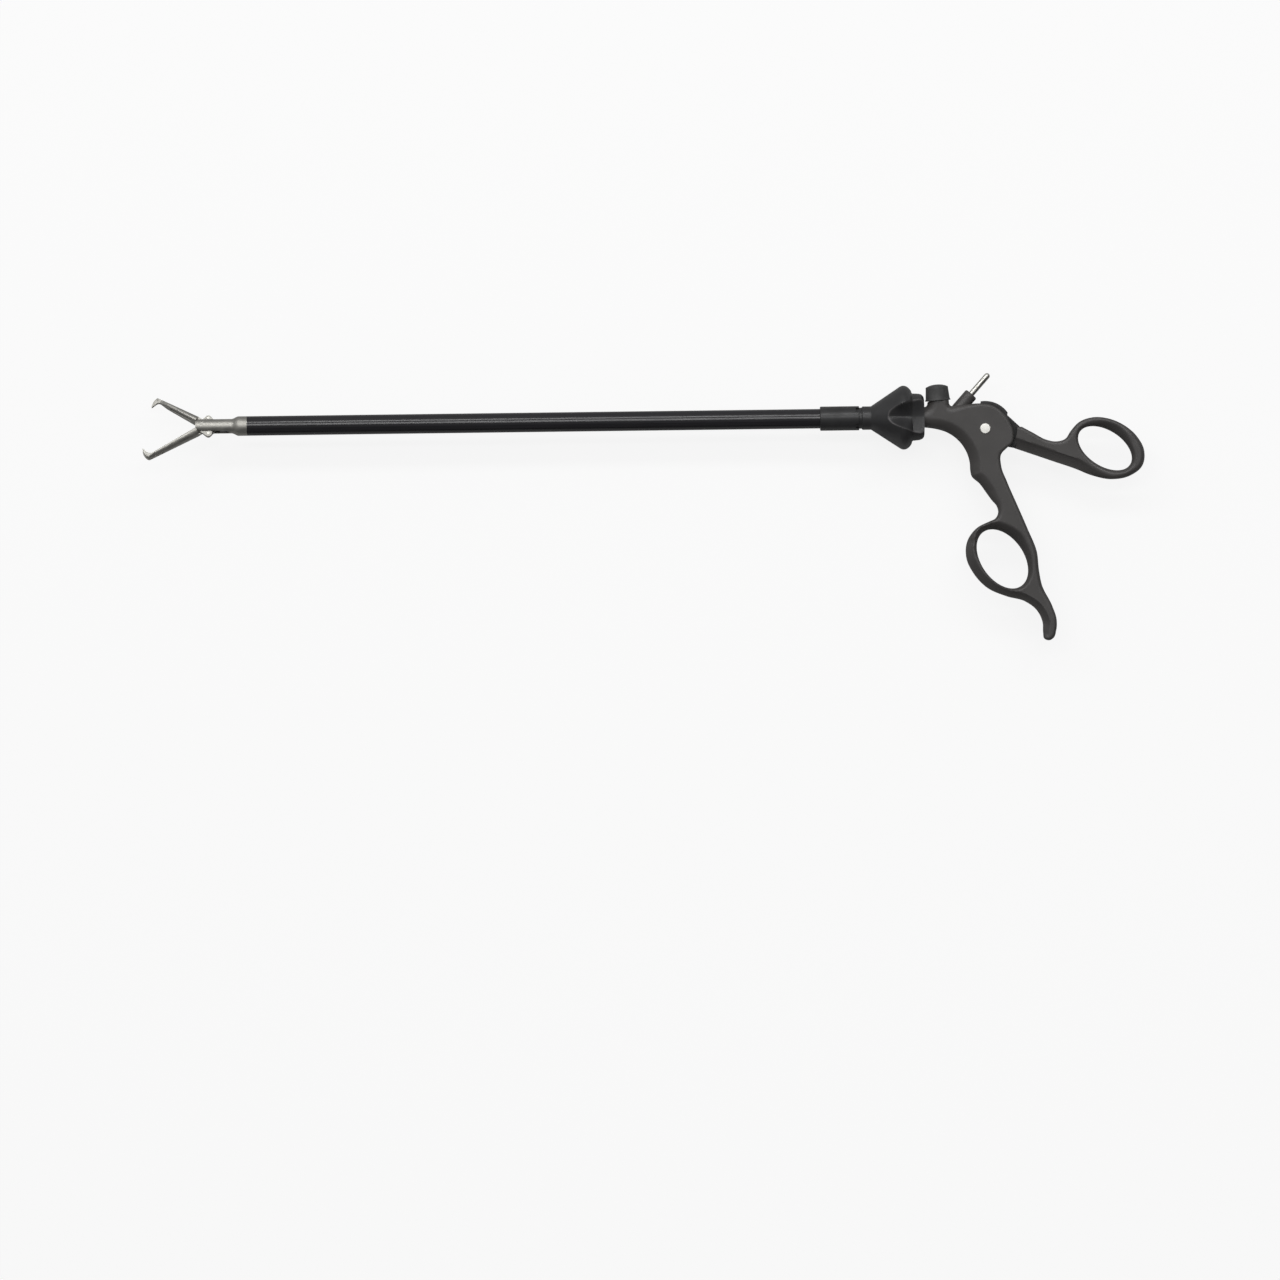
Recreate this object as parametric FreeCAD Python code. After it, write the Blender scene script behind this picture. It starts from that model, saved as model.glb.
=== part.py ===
import FreeCAD, Part
import math
import os

# Laparoscopic claw grasper, lying on its side, in millimetres.
# The origin is on the shaft axis at the front face of the front sleeve.
# X runs along the shaft towards the handle, Y across the instrument, Z up out of its flat side.
# The jaws are open at rest, and the thumb lever is up.

V = FreeCAD.Vector

# Shaft
shaft_diameter = 10.0
shaft_length = 293.9            # insulated length ahead of the front sleeve
insulation_wall = 0.3
tube_wall = 0.5
fit_gap = 0.05                  # radial gap of a turning or sliding fit

# Jaw housing
housing_diameter = 7.4
housing_collar = 4.0            # length at full shaft diameter
housing_flare = 4.2
nose_to_pivot = 3.3
nose_flat = 3.1                 # height of the blunt nose between its chamfers
housing_reach = 23.1            # from the tube's end to the jaw pivot
housing_spigot = 9.0            # length inside the tube
slot_width = 3.2
slot_length = 17.0
housing_bore = 5.6
bore_start = 4.2                # behind the jaw pivot
jaw_pin_diameter = 2.0

# Jaws
jaw_opening = 30.0              # degrees, each jaw
jaw_turn = -26.0                # degrees about the shaft axis; the lower jaw comes up towards +Z
jaw_shoulder = 3.8              # from the pivot to the full-width part
upper_reach = 28.6
lower_reach = 33.4
upper_hook_depth = 3.2          # how far the claw passes the shaft axis
lower_hook_depth = 3.9
jaw_tip_radius = 2.85
jaw_side_root = 3.5             # half width between the flat sides
jaw_side_tip = 2.6
jaw_inner_root = 0.3            # gap from the axis to the inner face at the root
jaw_inner_tip = 1.0
claw_width = 1.5                # upper claw
claw_side_gap = 0.3             # between the upper claw and the lower pair
jaw_groove_radius = 1.5
jaw_groove_end = 9.5             # behind the jaw's tip
blade_thickness = 1.45
blade_gap = 0.05                # between the two layers and the shaft's mid plane
eye_radius = 3.1

# Toggle linkage
tail_length = 5.42
tail_angle_closed = 22.7        # degrees below the axis with the jaws shut
tail_radius = 2.0
link_length = 5.8
link_end_radius = 1.4
link_pin_diameter = 1.3
open_pivot_play = 0.24          # radial play of the links on the rod pin
clevis_diameter = 5.4
clevis_slot = 3.1
clevis_front = 1.6              # ahead of the rod pin
clevis_rear = 6.5               # behind the rod pin
clevis_slot_depth = 2.0         # behind the rod pin

# Rod
rod_diameter = 3.0
rod_insulation_diameter = 4.6
rod_socket = 3.0                # how far the rod enters the clevis
ball_diameter = 4.8
ball_stub_diameter = 2.0
lever_travel = 29.0             # degrees
ball_arm = 6.2                  # from the lever's pivot up to the shaft axis

# Front sleeve, hub and spindle
sleeve_length = 20.0
sleeve_diameter = 12.4
sleeve_shoulder = 9.5           # where its bore widens behind the hub
sleeve_notch_width = 3.4
sleeve_notch_depth = 1.6
hub_length = 3.4
nose_thread_diameter = 10.8
spindle_diameter = 7.2
spindle_bore = 5.0
spindle_end = 57.2
o_ring_section = 0.76
o_ring_at = 52.2
snap_ring_at = 55.0
snap_ring_width = 1.0
snap_ring_diameter = 8.4

# Rotation wheel
wheel_front = 21.4
wheel_collar_diameter = 12.0
wheel_collar_end = 27.0
wheel_diameter = 32.8
wheel_peak_at = 43.2
wheel_step_at = 47.3
wheel_rim_diameter = 24.8
wheel_rear = 53.4
scallop_count = 3
scallop_apex_at = 34.5
scallop_length = 19.0           # from its apex to its full width
scallop_half_width = 9.1
scallop_axis_front = 12.5       # its axis over the shaft axis, at the apex
scallop_axis_rear = 15.7        # the same, where the scallop is full width
scallop_turn = -3.0             # degrees about the shaft axis
barrel_recess = 3.2             # how far the barrel enters the wheel
recess_gap = 0.3

# Handle
barrel_diameter = 10.5
barrel_end = 62.0               # where its round back has run into the body
blend_end = 68.0
blend_radius = 9.5              # of the cone that rounds the body off towards the barrel
trigger_centre = (56.0, -26.5)  # of the arc that the index finger lies in
trigger_radius = 20.7
trigger_low = -4.0              # degrees, where the arc's bevel starts and ends
trigger_high = 90.0
grip_edge_start = (76.9, -27.6)
grip_edge_end = (90.8, -47.2)
grip_bevel_end = (1.9, 1.5)     # the bevel's width and depth where it has faded out
front_bevel_width = 4.8
front_bevel_depth = 3.4
body_thickness = 10.6
edge_radius = 1.6
hole_edge_radius = 1.5
lever_pivot_x = 84.55
lever_slot = 5.5
lever_head_radius = 14.0
slot_gap = 0.5                  # round the lever's head
port_foot = (60.8, 4.5)
port_lean = 4.0                 # degrees forward of upright
port_stem_diameter = 10.8
port_stem_top = 3.9             # measured along the port axis from its foot
port_nozzle_diameter = 7.6
port_nozzle_top = 10.2
port_bore = 4.1
cap_gap = 0.1                   # between the cap and the stem
cap_diameter = 13.0             # at its foot
cap_shoulder_diameter = 11.4
cap_shoulder = 11.0             # where the wall ends and the dome starts
cap_top = 12.3
cap_wall_gap = 0.25             # round the nozzle, for the thread
cap_seal_thickness = 0.7
cap_gate = 0.7                  # radius of the flat that the moulding gate leaves on top
cap_lip = 0.3
cap_lip_height = 0.5
boss_diameter = 6.6
boss_length = 12.0
boss_edge_radius = 0.9
boss_end = (77.4, 11.3)
electrode_angle = 48.3          # degrees above the shaft axis
electrode_diameter = 3.0
electrode_exposed = 14.2
electrode_shank_diameter = 3.8  # inside the boss
electrode_inside = 9.6
flush_chamber_diameter = 6.0
seal_front = 65.5
seal_length = 2.6
rod_passage_diameter = 3.8
screw_head_diameter = 5.4
screw_head_proud = 0.5
screw_diameter = 4.0
screw_thread_diameter = 3.0
finger_hole_centre = (92.6, -73.1)
finger_hole_axes = (16.9, 10.9)
finger_hole_turn = -55.2
strip_thickness = 0.4
strip_width = 2.6

# Thumb lever
lever_thickness = 8.6
lever_gap = 0.15                # between the lever's head and each cheek
lever_boss_radius = 8.9         # round the pivot, below the ball's socket
lever_root_radius = 17.6        # where the arm leaves the slot and thickens
arm_edge_angle = -34.3          # where the arm's lower edge enters the cheeks
arm_edge_end = (130.3, -27.2)   # where it runs into the ring
arm_bevel_root = (6.0, 2.8)      # width and depth
arm_bevel_end = (4.3, 2.6)
lever_heel_angle = -62.0        # where the arm's lower edge meets the boss, seen from the pivot
lever_crown_angle = 113.0       # where the head's round top ends
lever_space_margin = 5.0        # degrees of room past the lever's sweep
thumb_hole_centre = (145.9, -17.0)
thumb_hole_axes = (15.4, 9.1)
thumb_hole_turn = -33.5

# Places worked out from the sizes above
tube_outer = shaft_diameter / 2 - insulation_wall
tube_inner = tube_outer - tube_wall
tube_front = -shaft_length
jaw_pivot_x = tube_front - housing_reach
nose_x = jaw_pivot_x - nose_to_pivot
hub_end = sleeve_shoulder + hub_length
tail_angle_open = tail_angle_closed + jaw_opening


def toggle_reach(tail_angle):
    """Distance from the jaw pivot to the rod pin with the tail at this angle."""
    height = tail_length * math.sin(math.radians(tail_angle))
    return tail_length * math.cos(math.radians(tail_angle)) + math.sqrt(link_length**2 - height**2)


def link_angle(tail_angle):
    """Angle of the link to the shaft axis with the tail at this angle."""
    return math.degrees(math.asin(tail_length * math.sin(math.radians(tail_angle)) / link_length))


reach_open = toggle_reach(tail_angle_open)
reach_closed = toggle_reach(tail_angle_closed)
rod_travel = reach_closed - reach_open
mid_error = (reach_open + reach_closed) / 2 - toggle_reach((tail_angle_open + tail_angle_closed) / 2)
rod_pin_x = jaw_pivot_x + reach_open - mid_error / 2
lever_pivot_y = -ball_arm
ball_x = lever_pivot_x - ball_arm * math.tan(math.radians(lever_travel / 2))
barrel_front = wheel_rear - barrel_recess
head_half = lever_slot / 2 - lever_gap


# Shape helpers
def point(xy, z=0.0):
    return V(xy[0], xy[1], z)


def line(a, b):
    return Part.LineSegment(point(a), point(b)).toShape()


def arc(a, b, c):
    return Part.Arc(point(a), point(b), point(c)).toShape()


def curve(points):
    spline = Part.BSplineCurve()
    spline.interpolate([point(p) for p in points])
    return spline.toShape()


def bow(a, way, b):
    """The arc that leaves point a in this direction and ends at point b."""
    chord = b - a
    side = way - chord * (way.dot(chord) / chord.dot(chord))
    if side.Length < 1e-6:
        return Part.LineSegment(a, b).toShape()
    half_turn = math.acos(max(-1.0, min(1.0, way.dot(chord) / chord.Length))) / 2
    middle = (a + b) * 0.5 + side.normalize() * (chord.Length / 2 * math.tan(half_turn))
    return Part.Arc(a, middle, b).toShape()


def chain(points, leave, arrive):
    """Arcs that meet smoothly and pass through the points, two between each pair of them.

    The directions at both ends are in degrees. At the other points the curve runs along
    the circle through the point and its two neighbours.
    """
    spots = [point(p) for p in points]
    ways = [point(polar(0, 0, 1, leave))]
    for before, spot, after in zip(spots, spots[1:], spots[2:]):
        come, go = spot - before, after - spot
        ways.append((come * (go.Length / come.Length) + go * (come.Length / go.Length)).normalize())
    ways.append(point(polar(0, 0, 1, arrive)))
    edges = []
    for a, b, t0, t1 in zip(spots, spots[1:], ways, ways[1:]):
        span = b - a
        spread = 2 * (1 - t0.dot(t1))
        along = span.dot(t0 + t1)
        if spread < 1e-9:
            reach = span.dot(span) / (2 * along)
        else:
            reach = (math.sqrt(along**2 + spread * span.dot(span)) - along) / spread
        joint = (a + t0 * reach + b - t1 * reach) * 0.5
        edges += [bow(a, t0, joint), bow(joint, (b - t1 * reach - a - t0 * reach).normalize(), b)]
    return edges


def face(edges):
    return Part.Face(Part.Wire(Part.__sortEdges__(edges)))


def polygon(points):
    return face([line(a, b) for a, b in zip(points, points[1:] + points[:1])])


def slab(flat, low, high):
    """A flat face in the XY plane, extruded from one height to another."""
    moved = flat.copy()
    moved.translate(V(0, 0, low))
    return moved.extrude(V(0, 0, high - low))


def turned(edges):
    """A half profile, drawn as axial place and radius, turned about the X axis."""
    return face(edges).revolve(V(0, 0, 0), V(1, 0, 0), 360)


def rod_x(x0, x1, radius):
    return Part.makeCylinder(radius, x1 - x0, V(x0, 0, 0), V(1, 0, 0))


def ring_x(x0, x1, outer, inner):
    return rod_x(x0, x1, outer).cut(rod_x(x0, x1, inner))


def pin_z(x, y, radius, low, high):
    return Part.makeCylinder(radius, high - low, V(x, y, low))


def box(x0, x1, y0, y1, z0, z1):
    return Part.makeBox(x1 - x0, y1 - y0, z1 - z0, V(x0, y0, z0))


def ellipse_face(centre, axes, turn):
    shape = Part.Ellipse(V(0, 0, 0), axes[0], axes[1]).toShape()
    flat = Part.Face(Part.Wire([shape]))
    flat.rotate(V(0, 0, 0), V(0, 0, 1), turn)
    flat.translate(point(centre))
    return flat


def around_z(shape, x, y, degrees):
    copy = shape.copy()
    copy.rotate(V(x, y, 0), V(0, 0, 1), degrees)
    return copy


def polar(x, y, radius, degrees):
    angle = math.radians(degrees)
    return (x + radius * math.cos(angle), y + radius * math.sin(angle))


def rounded(solid, radius, chosen):
    """The solid with the edges that pass the test rounded."""
    return solid.makeFillet(radius, [edge for edge in solid.Edges if chosen(edge)])


def rim_of(height):
    """Test for edges that lie on the flat faces at plus and minus this height."""
    def test(edge):
        low, high = edge.BoundBox.ZMin, edge.BoundBox.ZMax
        return high - low < 1e-6 and abs(abs(low) - height) < 1e-6
    return test


# Shaft tube
def tube_insulation():
    return ring_x(tube_front, 0.0, shaft_diameter / 2, tube_outer)


def outer_tube():
    return ring_x(tube_front, hub_end, tube_outer, tube_inner)


def tube_hub():
    return ring_x(sleeve_shoulder, hub_end, nose_thread_diameter / 2, tube_outer)


def front_sleeve():
    outer = sleeve_diameter / 2
    sleeve = ring_x(0.0, sleeve_length, outer, tube_outer + fit_gap)
    sleeve = sleeve.cut(rod_x(sleeve_shoulder, sleeve_length, nose_thread_diameter / 2))
    notch = box(sleeve_length - sleeve_notch_depth, sleeve_length + 1,
                -sleeve_notch_width / 2, sleeve_notch_width / 2, 0, outer + 1)
    for turn in range(0, 360, 90):
        sleeve = sleeve.cut(around_x(notch, turn + 45))
    return rounded(sleeve, 0.5, lambda edge: on_circle(edge, outer, 0.0))


def around_x(shape, degrees):
    copy = shape.copy()
    copy.rotate(V(0, 0, 0), V(1, 0, 0), degrees)
    return copy


def on_circle(edge, radius, x):
    """Test for a full circle of this radius about the shaft axis at this place."""
    bounds = edge.BoundBox
    flat = abs(bounds.XMin - x) < 1e-6 and abs(bounds.XMax - x) < 1e-6
    return flat and abs(bounds.YLength - 2 * radius) < 1e-3 and abs(bounds.ZLength - 2 * radius) < 1e-3


def wheel_spindle():
    nose = rod_x(hub_end, wheel_front, nose_thread_diameter / 2)
    spindle = nose.fuse(rod_x(wheel_front, spindle_end, spindle_diameter / 2)).removeSplitter()
    spindle = spindle.cut(rod_x(hub_end, spindle_end, spindle_bore / 2))
    groove = spindle_diameter / 2 - o_ring_section
    spindle = spindle.cut(ring_x(o_ring_at - 0.6, o_ring_at + 0.6, spindle_diameter, groove))
    return spindle.cut(ring_x(snap_ring_at, snap_ring_at + snap_ring_width, spindle_diameter,
                              spindle_diameter / 2 - 0.5))


def spindle_o_ring():
    middle = spindle_diameter / 2 + fit_gap / 2 - o_ring_section / 2
    ring = Part.makeTorus(middle, o_ring_section / 2 - 0.01, V(0, 0, 0), V(1, 0, 0))
    ring.translate(V(o_ring_at, 0, 0))
    return ring


def spindle_snap_ring():
    ring = ring_x(snap_ring_at, snap_ring_at + snap_ring_width, snap_ring_diameter / 2,
                  spindle_diameter / 2 - 0.5)
    return ring.cut(box(snap_ring_at - 1, snap_ring_at + 3, -1.2, 1.2, -snap_ring_diameter, 0))


# Rotation wheel: a turned flare with finger scallops, each cut by a bullet with an elliptical nose
def scallop():
    reach = scallop_length
    apex_height = scallop_axis_front
    nose = Part.Ellipse(V(reach, 0, 0), reach, scallop_half_width)
    edges = [
        Part.ArcOfEllipse(nose, math.pi / 2, math.pi).toShape(),
        line((reach, scallop_half_width), (2 * reach, scallop_half_width)),
        line((2 * reach, scallop_half_width), (2 * reach, 0)),
        line((2 * reach, 0), (0, 0)),
    ]
    cutter = turned(edges)
    tilt = math.degrees(math.atan2(scallop_axis_rear - scallop_axis_front, reach))
    cutter.rotate(V(0, 0, 0), V(0, 1, 0), -tilt)
    cutter.translate(V(scallop_apex_at, 0, apex_height))
    return cutter


def rotation_wheel():
    bore = spindle_diameter / 2
    collar = wheel_collar_diameter / 2
    peak = wheel_diameter / 2
    rim = wheel_rim_diameter / 2
    recess = barrel_diameter / 2 + recess_gap
    edges = [
        line((wheel_front, bore), (wheel_front, collar)),
        line((wheel_front, collar), (wheel_collar_end, collar)),
        line((wheel_collar_end, collar), (wheel_peak_at - 2.2, peak - 0.9)),
        arc((wheel_peak_at - 2.2, peak - 0.9), (wheel_peak_at, peak), (wheel_peak_at + 2.6, peak - 1.1)),
        arc((wheel_peak_at + 2.6, peak - 1.1), (wheel_step_at - 0.7, peak - 2.3), (wheel_step_at, rim)),
        line((wheel_step_at, rim), (wheel_step_at + 2.6, rim)),
        arc((wheel_step_at + 2.6, rim), (wheel_rear - 1.2, rim - 1.2), (wheel_rear, rim - 3.6)),
        line((wheel_rear, rim - 3.6), (wheel_rear, recess)),
        line((wheel_rear, recess), (barrel_front - recess_gap, recess)),
        line((barrel_front - recess_gap, recess), (barrel_front - recess_gap, bore)),
        line((barrel_front - recess_gap, bore), (wheel_front, bore)),
    ]
    wheel = turned(edges)
    for number in range(scallop_count):
        wheel = wheel.cut(around_x(scallop(), scallop_turn + 360 * number / scallop_count))
    return wheel


# Jaw housing: a fork with a bore for the clevis, slotted for the blades and links
def jaw_housing():
    full = shaft_diameter / 2
    slim = housing_diameter / 2
    collar_end = tube_front - housing_collar
    flare_end = collar_end - housing_flare
    edges = [
        line((nose_x, 0), (nose_x, slim)),
        line((nose_x, slim), (flare_end, slim)),
        curve([(flare_end, slim), (flare_end + 0.3 * housing_flare, slim + 0.22),
               (flare_end + 0.75 * housing_flare, full - 0.18), (collar_end, full)]),
        line((collar_end, full), (tube_front, full)),
        line((tube_front, full), (tube_front, tube_inner)),
        line((tube_front, tube_inner), (tube_front + housing_spigot, tube_inner)),
        line((tube_front + housing_spigot, tube_inner), (tube_front + housing_spigot, 0)),
        line((tube_front + housing_spigot, 0), (nose_x, 0)),
    ]
    housing = turned(edges)
    housing = housing.cut(rod_x(jaw_pivot_x + bore_start, tube_front + housing_spigot + 1, housing_bore / 2))
    half = slot_width / 2
    slot_end = nose_x + slot_length
    housing = housing.cut(box(nose_x - 1, slot_end, -full, full, -half, half))
    for side in (1, -1):
        corner = polygon([(nose_x, side * nose_flat / 2),
                          (nose_x + full * math.tan(math.radians(jaw_opening)),
                           side * (nose_flat / 2 + full)),
                          (nose_x, side * (nose_flat / 2 + full))])
        housing = housing.cut(slab(corner, -full, full))
    return housing.cut(pin_z(jaw_pivot_x, 0, jaw_pin_diameter / 2, -full, full))


def jaw_pivot_pin():
    reach = housing_diameter / 2 - 0.2
    return pin_z(jaw_pivot_x, 0, jaw_pin_diameter / 2, -reach, reach)


# Jaws, drawn shut. Side 1 is the upper jaw and side -1 the lower, mirrored across the shaft
def jaw_point(side, along, out):
    return (jaw_pivot_x - along, side * out)


def claw_profile(side, reach, back):
    """The jaw's side view: straight half-round beam, then a hook that curls back to its point."""
    root = housing_diameter / 2 + 0.3

    def at(along, out):
        return jaw_point(side, along, out)

    hook = [at(reach - along, out) for along, out in back]
    inner = [at(reach - 1.35, -1.5), at(reach - 2.15, 0.2), at(reach - 3.7, jaw_inner_tip)]
    return face([
        line(at(jaw_shoulder, jaw_inner_root), at(jaw_shoulder, root)),
        line(at(jaw_shoulder, root), hook[0]),
        curve(hook),
        curve([hook[-1]] + inner),
        line(inner[-1], at(jaw_shoulder, jaw_inner_root)),
    ])


def jaw_beam(side, reach, back, plan):
    """A half-round cone with flat sides; the plan gives half widths at distances behind the tip."""
    side_view = slab(claw_profile(side, reach, back), -4, 4)
    tip = jaw_pivot_x - reach
    slope = (housing_diameter / 2 - jaw_tip_radius) / (reach - jaw_shoulder)
    round_back = Part.makeCone(jaw_tip_radius - slope, housing_diameter / 2, reach - jaw_shoulder + 1,
                               V(tip - 1, 0, 0), V(1, 0, 0))
    below = box(tip - 1, jaw_pivot_x - jaw_shoulder, -5.0, 1.0, -4, 4)
    if side < 0:
        below = around_x(below, 180)
    half = [(tip + along, wide) for along, wide in plan] + [(jaw_pivot_x - jaw_shoulder, jaw_side_root)]
    outline = polygon(half + [(x, -wide) for x, wide in reversed(half)])
    beam = side_view.common(round_back.fuse(below)).common(around_x(slab(outline, -6, 6), 90))
    groove = Part.makeCylinder(jaw_groove_radius, reach - jaw_shoulder - jaw_groove_end - 3,
                               V(tip + jaw_groove_end, 0, 0), V(1, 0, 0))
    return beam.cut(groove)


def jaw_blade(side):
    """The thin root of a jaw: the eye on the pivot pin, the web to the beam and the crossed tail."""
    tail = polar(jaw_pivot_x, 0, tail_length, -side * tail_angle_closed)
    web = polygon([jaw_point(side, jaw_shoulder + 0.6, jaw_inner_root),
                   jaw_point(side, jaw_shoulder + 0.6, housing_diameter / 2 - 0.3),
                   jaw_point(side, 0, eye_radius),
                   jaw_point(side, 0, jaw_inner_root)])
    turn = -side * tail_angle_closed
    band = polygon([polar(jaw_pivot_x, 0, eye_radius, turn + 90), polar(jaw_pivot_x, 0, eye_radius, turn - 90),
                    polar(*tail, tail_radius, turn - 90), polar(*tail, tail_radius, turn + 90)])
    low, high = layer(side)
    blade = pin_z(jaw_pivot_x, 0, eye_radius, low, high)
    return blade.multiFuse([slab(web, low, high), slab(band, low, high),
                            pin_z(*tail, tail_radius, low, high)])


def layer(side):
    """The upper jaw's blade lies in the layer above the mid plane, the lower jaw's in the one below."""
    near, far = blade_gap, blade_gap + blade_thickness
    return (near, far) if side > 0 else (-far, -near)


def finished_jaw(side, beam):
    tail = polar(jaw_pivot_x, 0, tail_length, -side * tail_angle_closed)
    jaw = beam.fuse(jaw_blade(side)).removeSplitter()
    jaw = jaw.cut(pin_z(jaw_pivot_x, 0, jaw_pin_diameter / 2 + fit_gap, -4, 4))
    jaw = jaw.cut(pin_z(*tail, link_pin_diameter / 2, -4, 4))
    return around_z(jaw, jaw_pivot_x, 0, -side * jaw_opening)


def upper_jaw():
    back = [(0.8, 2.8), (0.1, 1.1), (0.0, -0.9), (0.65, -upper_hook_depth)]
    plan = [(0.0, claw_width / 2), (3.0, claw_width / 2), (4.4, claw_width / 2 + 0.4), (7.2, jaw_side_tip - 0.3),
            (9.0, jaw_side_tip)]
    return finished_jaw(1, jaw_beam(1, upper_reach, back, plan))


def lower_jaw():
    inner = claw_width / 2 + claw_side_gap
    back = [(2.4, jaw_tip_radius + 0.02), (0.75, 1.7), (0.0, -0.6), (0.6, -lower_hook_depth)]
    plan = [(0.0, inner + 1.0), (2.0, inner + 1.25), (4.5, jaw_side_tip)]
    beam = jaw_beam(-1, lower_reach, back, plan)
    gap_start = upper_reach - 4.4
    beam = beam.cut(box(jaw_pivot_x - lower_reach - 1, jaw_pivot_x - gap_start, -6, 6, -inner, inner))
    return finished_jaw(-1, beam)


def tail_pin_place(side):
    return polar(jaw_pivot_x, 0, tail_length, -side * tail_angle_open)


def tail_pin(side):
    reach = blade_gap + blade_thickness
    return pin_z(*tail_pin_place(side), link_pin_diameter / 2, -reach, reach)


def jaw_link(side):
    """The link of one jaw, in the layer beside that jaw's tail."""
    low, high = layer(-side)
    start = tail_pin_place(side)
    turn = side * link_angle(tail_angle_open)
    end = polar(*start, link_length, turn)
    bar = polygon([polar(*start, link_end_radius, turn + 90), polar(*start, link_end_radius, turn - 90),
                   polar(*end, link_end_radius, turn - 90), polar(*end, link_end_radius, turn + 90)])
    link = pin_z(*start, link_end_radius, low, high)
    link = link.multiFuse([slab(bar, low, high), pin_z(*end, link_end_radius, low, high)]).removeSplitter()
    link = link.cut(pin_z(*start, link_pin_diameter / 2 + fit_gap, low - 1, high + 1))
    return link.cut(pin_z(*end, link_pin_diameter / 2 + open_pivot_play, low - 1, high + 1))


# Rod with its clevis and ball
def rod_clevis():
    radius = clevis_diameter / 2
    clevis = rod_x(rod_pin_x - clevis_front, rod_pin_x + clevis_rear, radius)
    half = clevis_slot / 2
    clevis = clevis.cut(box(rod_pin_x - clevis_front - 1, rod_pin_x + clevis_slot_depth,
                            -radius, radius, -half, half))
    clevis = clevis.cut(pin_z(rod_pin_x, 0, link_pin_diameter / 2, -radius, radius))
    return clevis.cut(rod_x(rod_pin_x + clevis_rear - rod_socket, rod_pin_x + clevis_rear, rod_diameter / 2))


def rod_pin():
    reach = clevis_diameter / 2 - 0.15
    return pin_z(rod_pin_x, 0, link_pin_diameter / 2, -reach, reach)


def push_rod():
    shoulder = ball_x - ball_diameter / 2 + 0.4
    rod = rod_x(rod_pin_x + clevis_rear - rod_socket, shoulder, rod_diameter / 2)
    return rod.fuse(rod_x(shoulder, ball_x + 0.6, ball_stub_diameter / 2)).removeSplitter()


def rod_insulation():
    return ring_x(rod_pin_x + clevis_rear + 0.5, spindle_end + 3, rod_insulation_diameter / 2,
                  rod_diameter / 2)


def ball_tip():
    ball = Part.makeSphere(ball_diameter / 2, V(ball_x, 0, 0))
    shoulder = ball_x - ball_diameter / 2 + 0.4
    ball = ball.cut(rod_x(ball_x - ball_diameter, shoulder, ball_diameter))
    return ball.cut(rod_x(shoulder - 1, ball_x + 0.6, ball_stub_diameter / 2))


# Handle
def handle_outline():
    """Barrel foot, trigger-side arc, grip, finger ring, hook, back of the grip and the cheeks."""
    start = polar(*trigger_centre, trigger_radius, 82.0)
    end = polar(*trigger_centre, trigger_radius, -2.2)
    back_low = (105.5, -57.5)
    back_high = (95.4, -33.6)
    back_angle = math.degrees(math.atan2(back_high[1] - back_low[1], back_high[0] - back_low[0]))
    edges = [line((53.5, 4.5), (53.5, -5.0)),
             arc(start, polar(*trigger_centre, trigger_radius, 40.0), end),
             line(back_low, back_high)]
    edges += chain([(53.5, -5.0), start], -3.0, -8.0)
    edges += chain([end, (77.3, -30.2), (81.5, -34.4), (84.7, -38.9), (87.5, -42.8), (90.2, -46.2),
                    (90.8, -49.4), (89.2, -52.4), (86.6, -53.6)], -92.2, 186)
    edges += chain([(86.6, -53.6), (79.6, -57.2), (74.7, -64.0), (74.2, -72.4), (77.7, -80.2),
                    (84.6, -87.7), (94.6, -92.3), (104.0, -95.0), (110.2, -99.9), (112.9, -106.0),
                    (113.1, -111.2), (113.7, -114.2), (115.9, -115.1), (118.2, -113.9), (119.6, -110.2),
                    (119.9, -104.4), (117.8, -97.6), (112.6, -86.6), (111.2, -79.0), (110.3, -70.0), back_low], 190, back_angle)
    edges += chain([back_high, (92.5, -25.4), (92.6, -19.4), (95.6, -16.2), (98.4, -13.6), (99.1, -9.0),
                    (96.9, -2.6), (92.6, 2.9), (88.0, 5.8), (82.5, 6.7), (75.0, 6.3), (65.0, 4.9),
                    (53.5, 4.5)], back_angle, 180)
    return face(edges)


def bevel_profile(width, depth, half):
    """The triangle that a bevel takes off an edge: inward distance and height."""
    slope = depth / width
    return [(-2.0, half - depth - 2.0 * slope), (width + 2.0 / slope, half + 2.0), (-2.0, half + 2.0)]


def straight_bevel(start, end, start_size, end_size, half):
    """Cutters for both faces along a straight edge; the solid lies to the left of the way from start to end.

    A size is a width and a depth.
    """
    way = (point(end) - point(start)).normalize()
    inward = V(-way.y, way.x, 0)
    wires = []
    for place, (width, depth) in ((start, start_size), (end, end_size)):
        corners = [point(place) + inward * u + V(0, 0, z) for u, z in bevel_profile(width, depth, half)]
        wires.append(Part.makePolygon(corners + corners[:1]))
    wedge = Part.makeLoft(wires, True, True)
    return wedge.fuse(wedge.mirror(V(0, 0, 0), V(0, 0, 1)))


def round_bevel(centre, radius, width, depth, half):
    """Cutters for both faces round an arc whose solid lies outside it."""
    corners = [V(centre[0] + radius + u, centre[1], z) for u, z in bevel_profile(width, depth, half)]
    ring = Part.Face(Part.makePolygon(corners + corners[:1]))
    ring.rotate(point(centre), V(0, 0, 1), trigger_low)
    ring = ring.revolve(point(centre), V(0, 0, 1), trigger_high - trigger_low)
    return ring.fuse(ring.mirror(V(0, 0, 0), V(0, 0, 1)))


def port_place(height):
    lean = math.radians(port_lean)
    return V(port_foot[0] - height * math.sin(lean), port_foot[1] + height * math.cos(lean), 0)


def port_cylinder(radius, low, high):
    return Part.makeCylinder(radius, high - low, port_place(low), port_place(1) - port_place(0))


def electrode_place(distance):
    """A point on the pin's axis, measured outwards from the end of its boss."""
    return point(polar(*boss_end, distance, electrode_angle))


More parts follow.
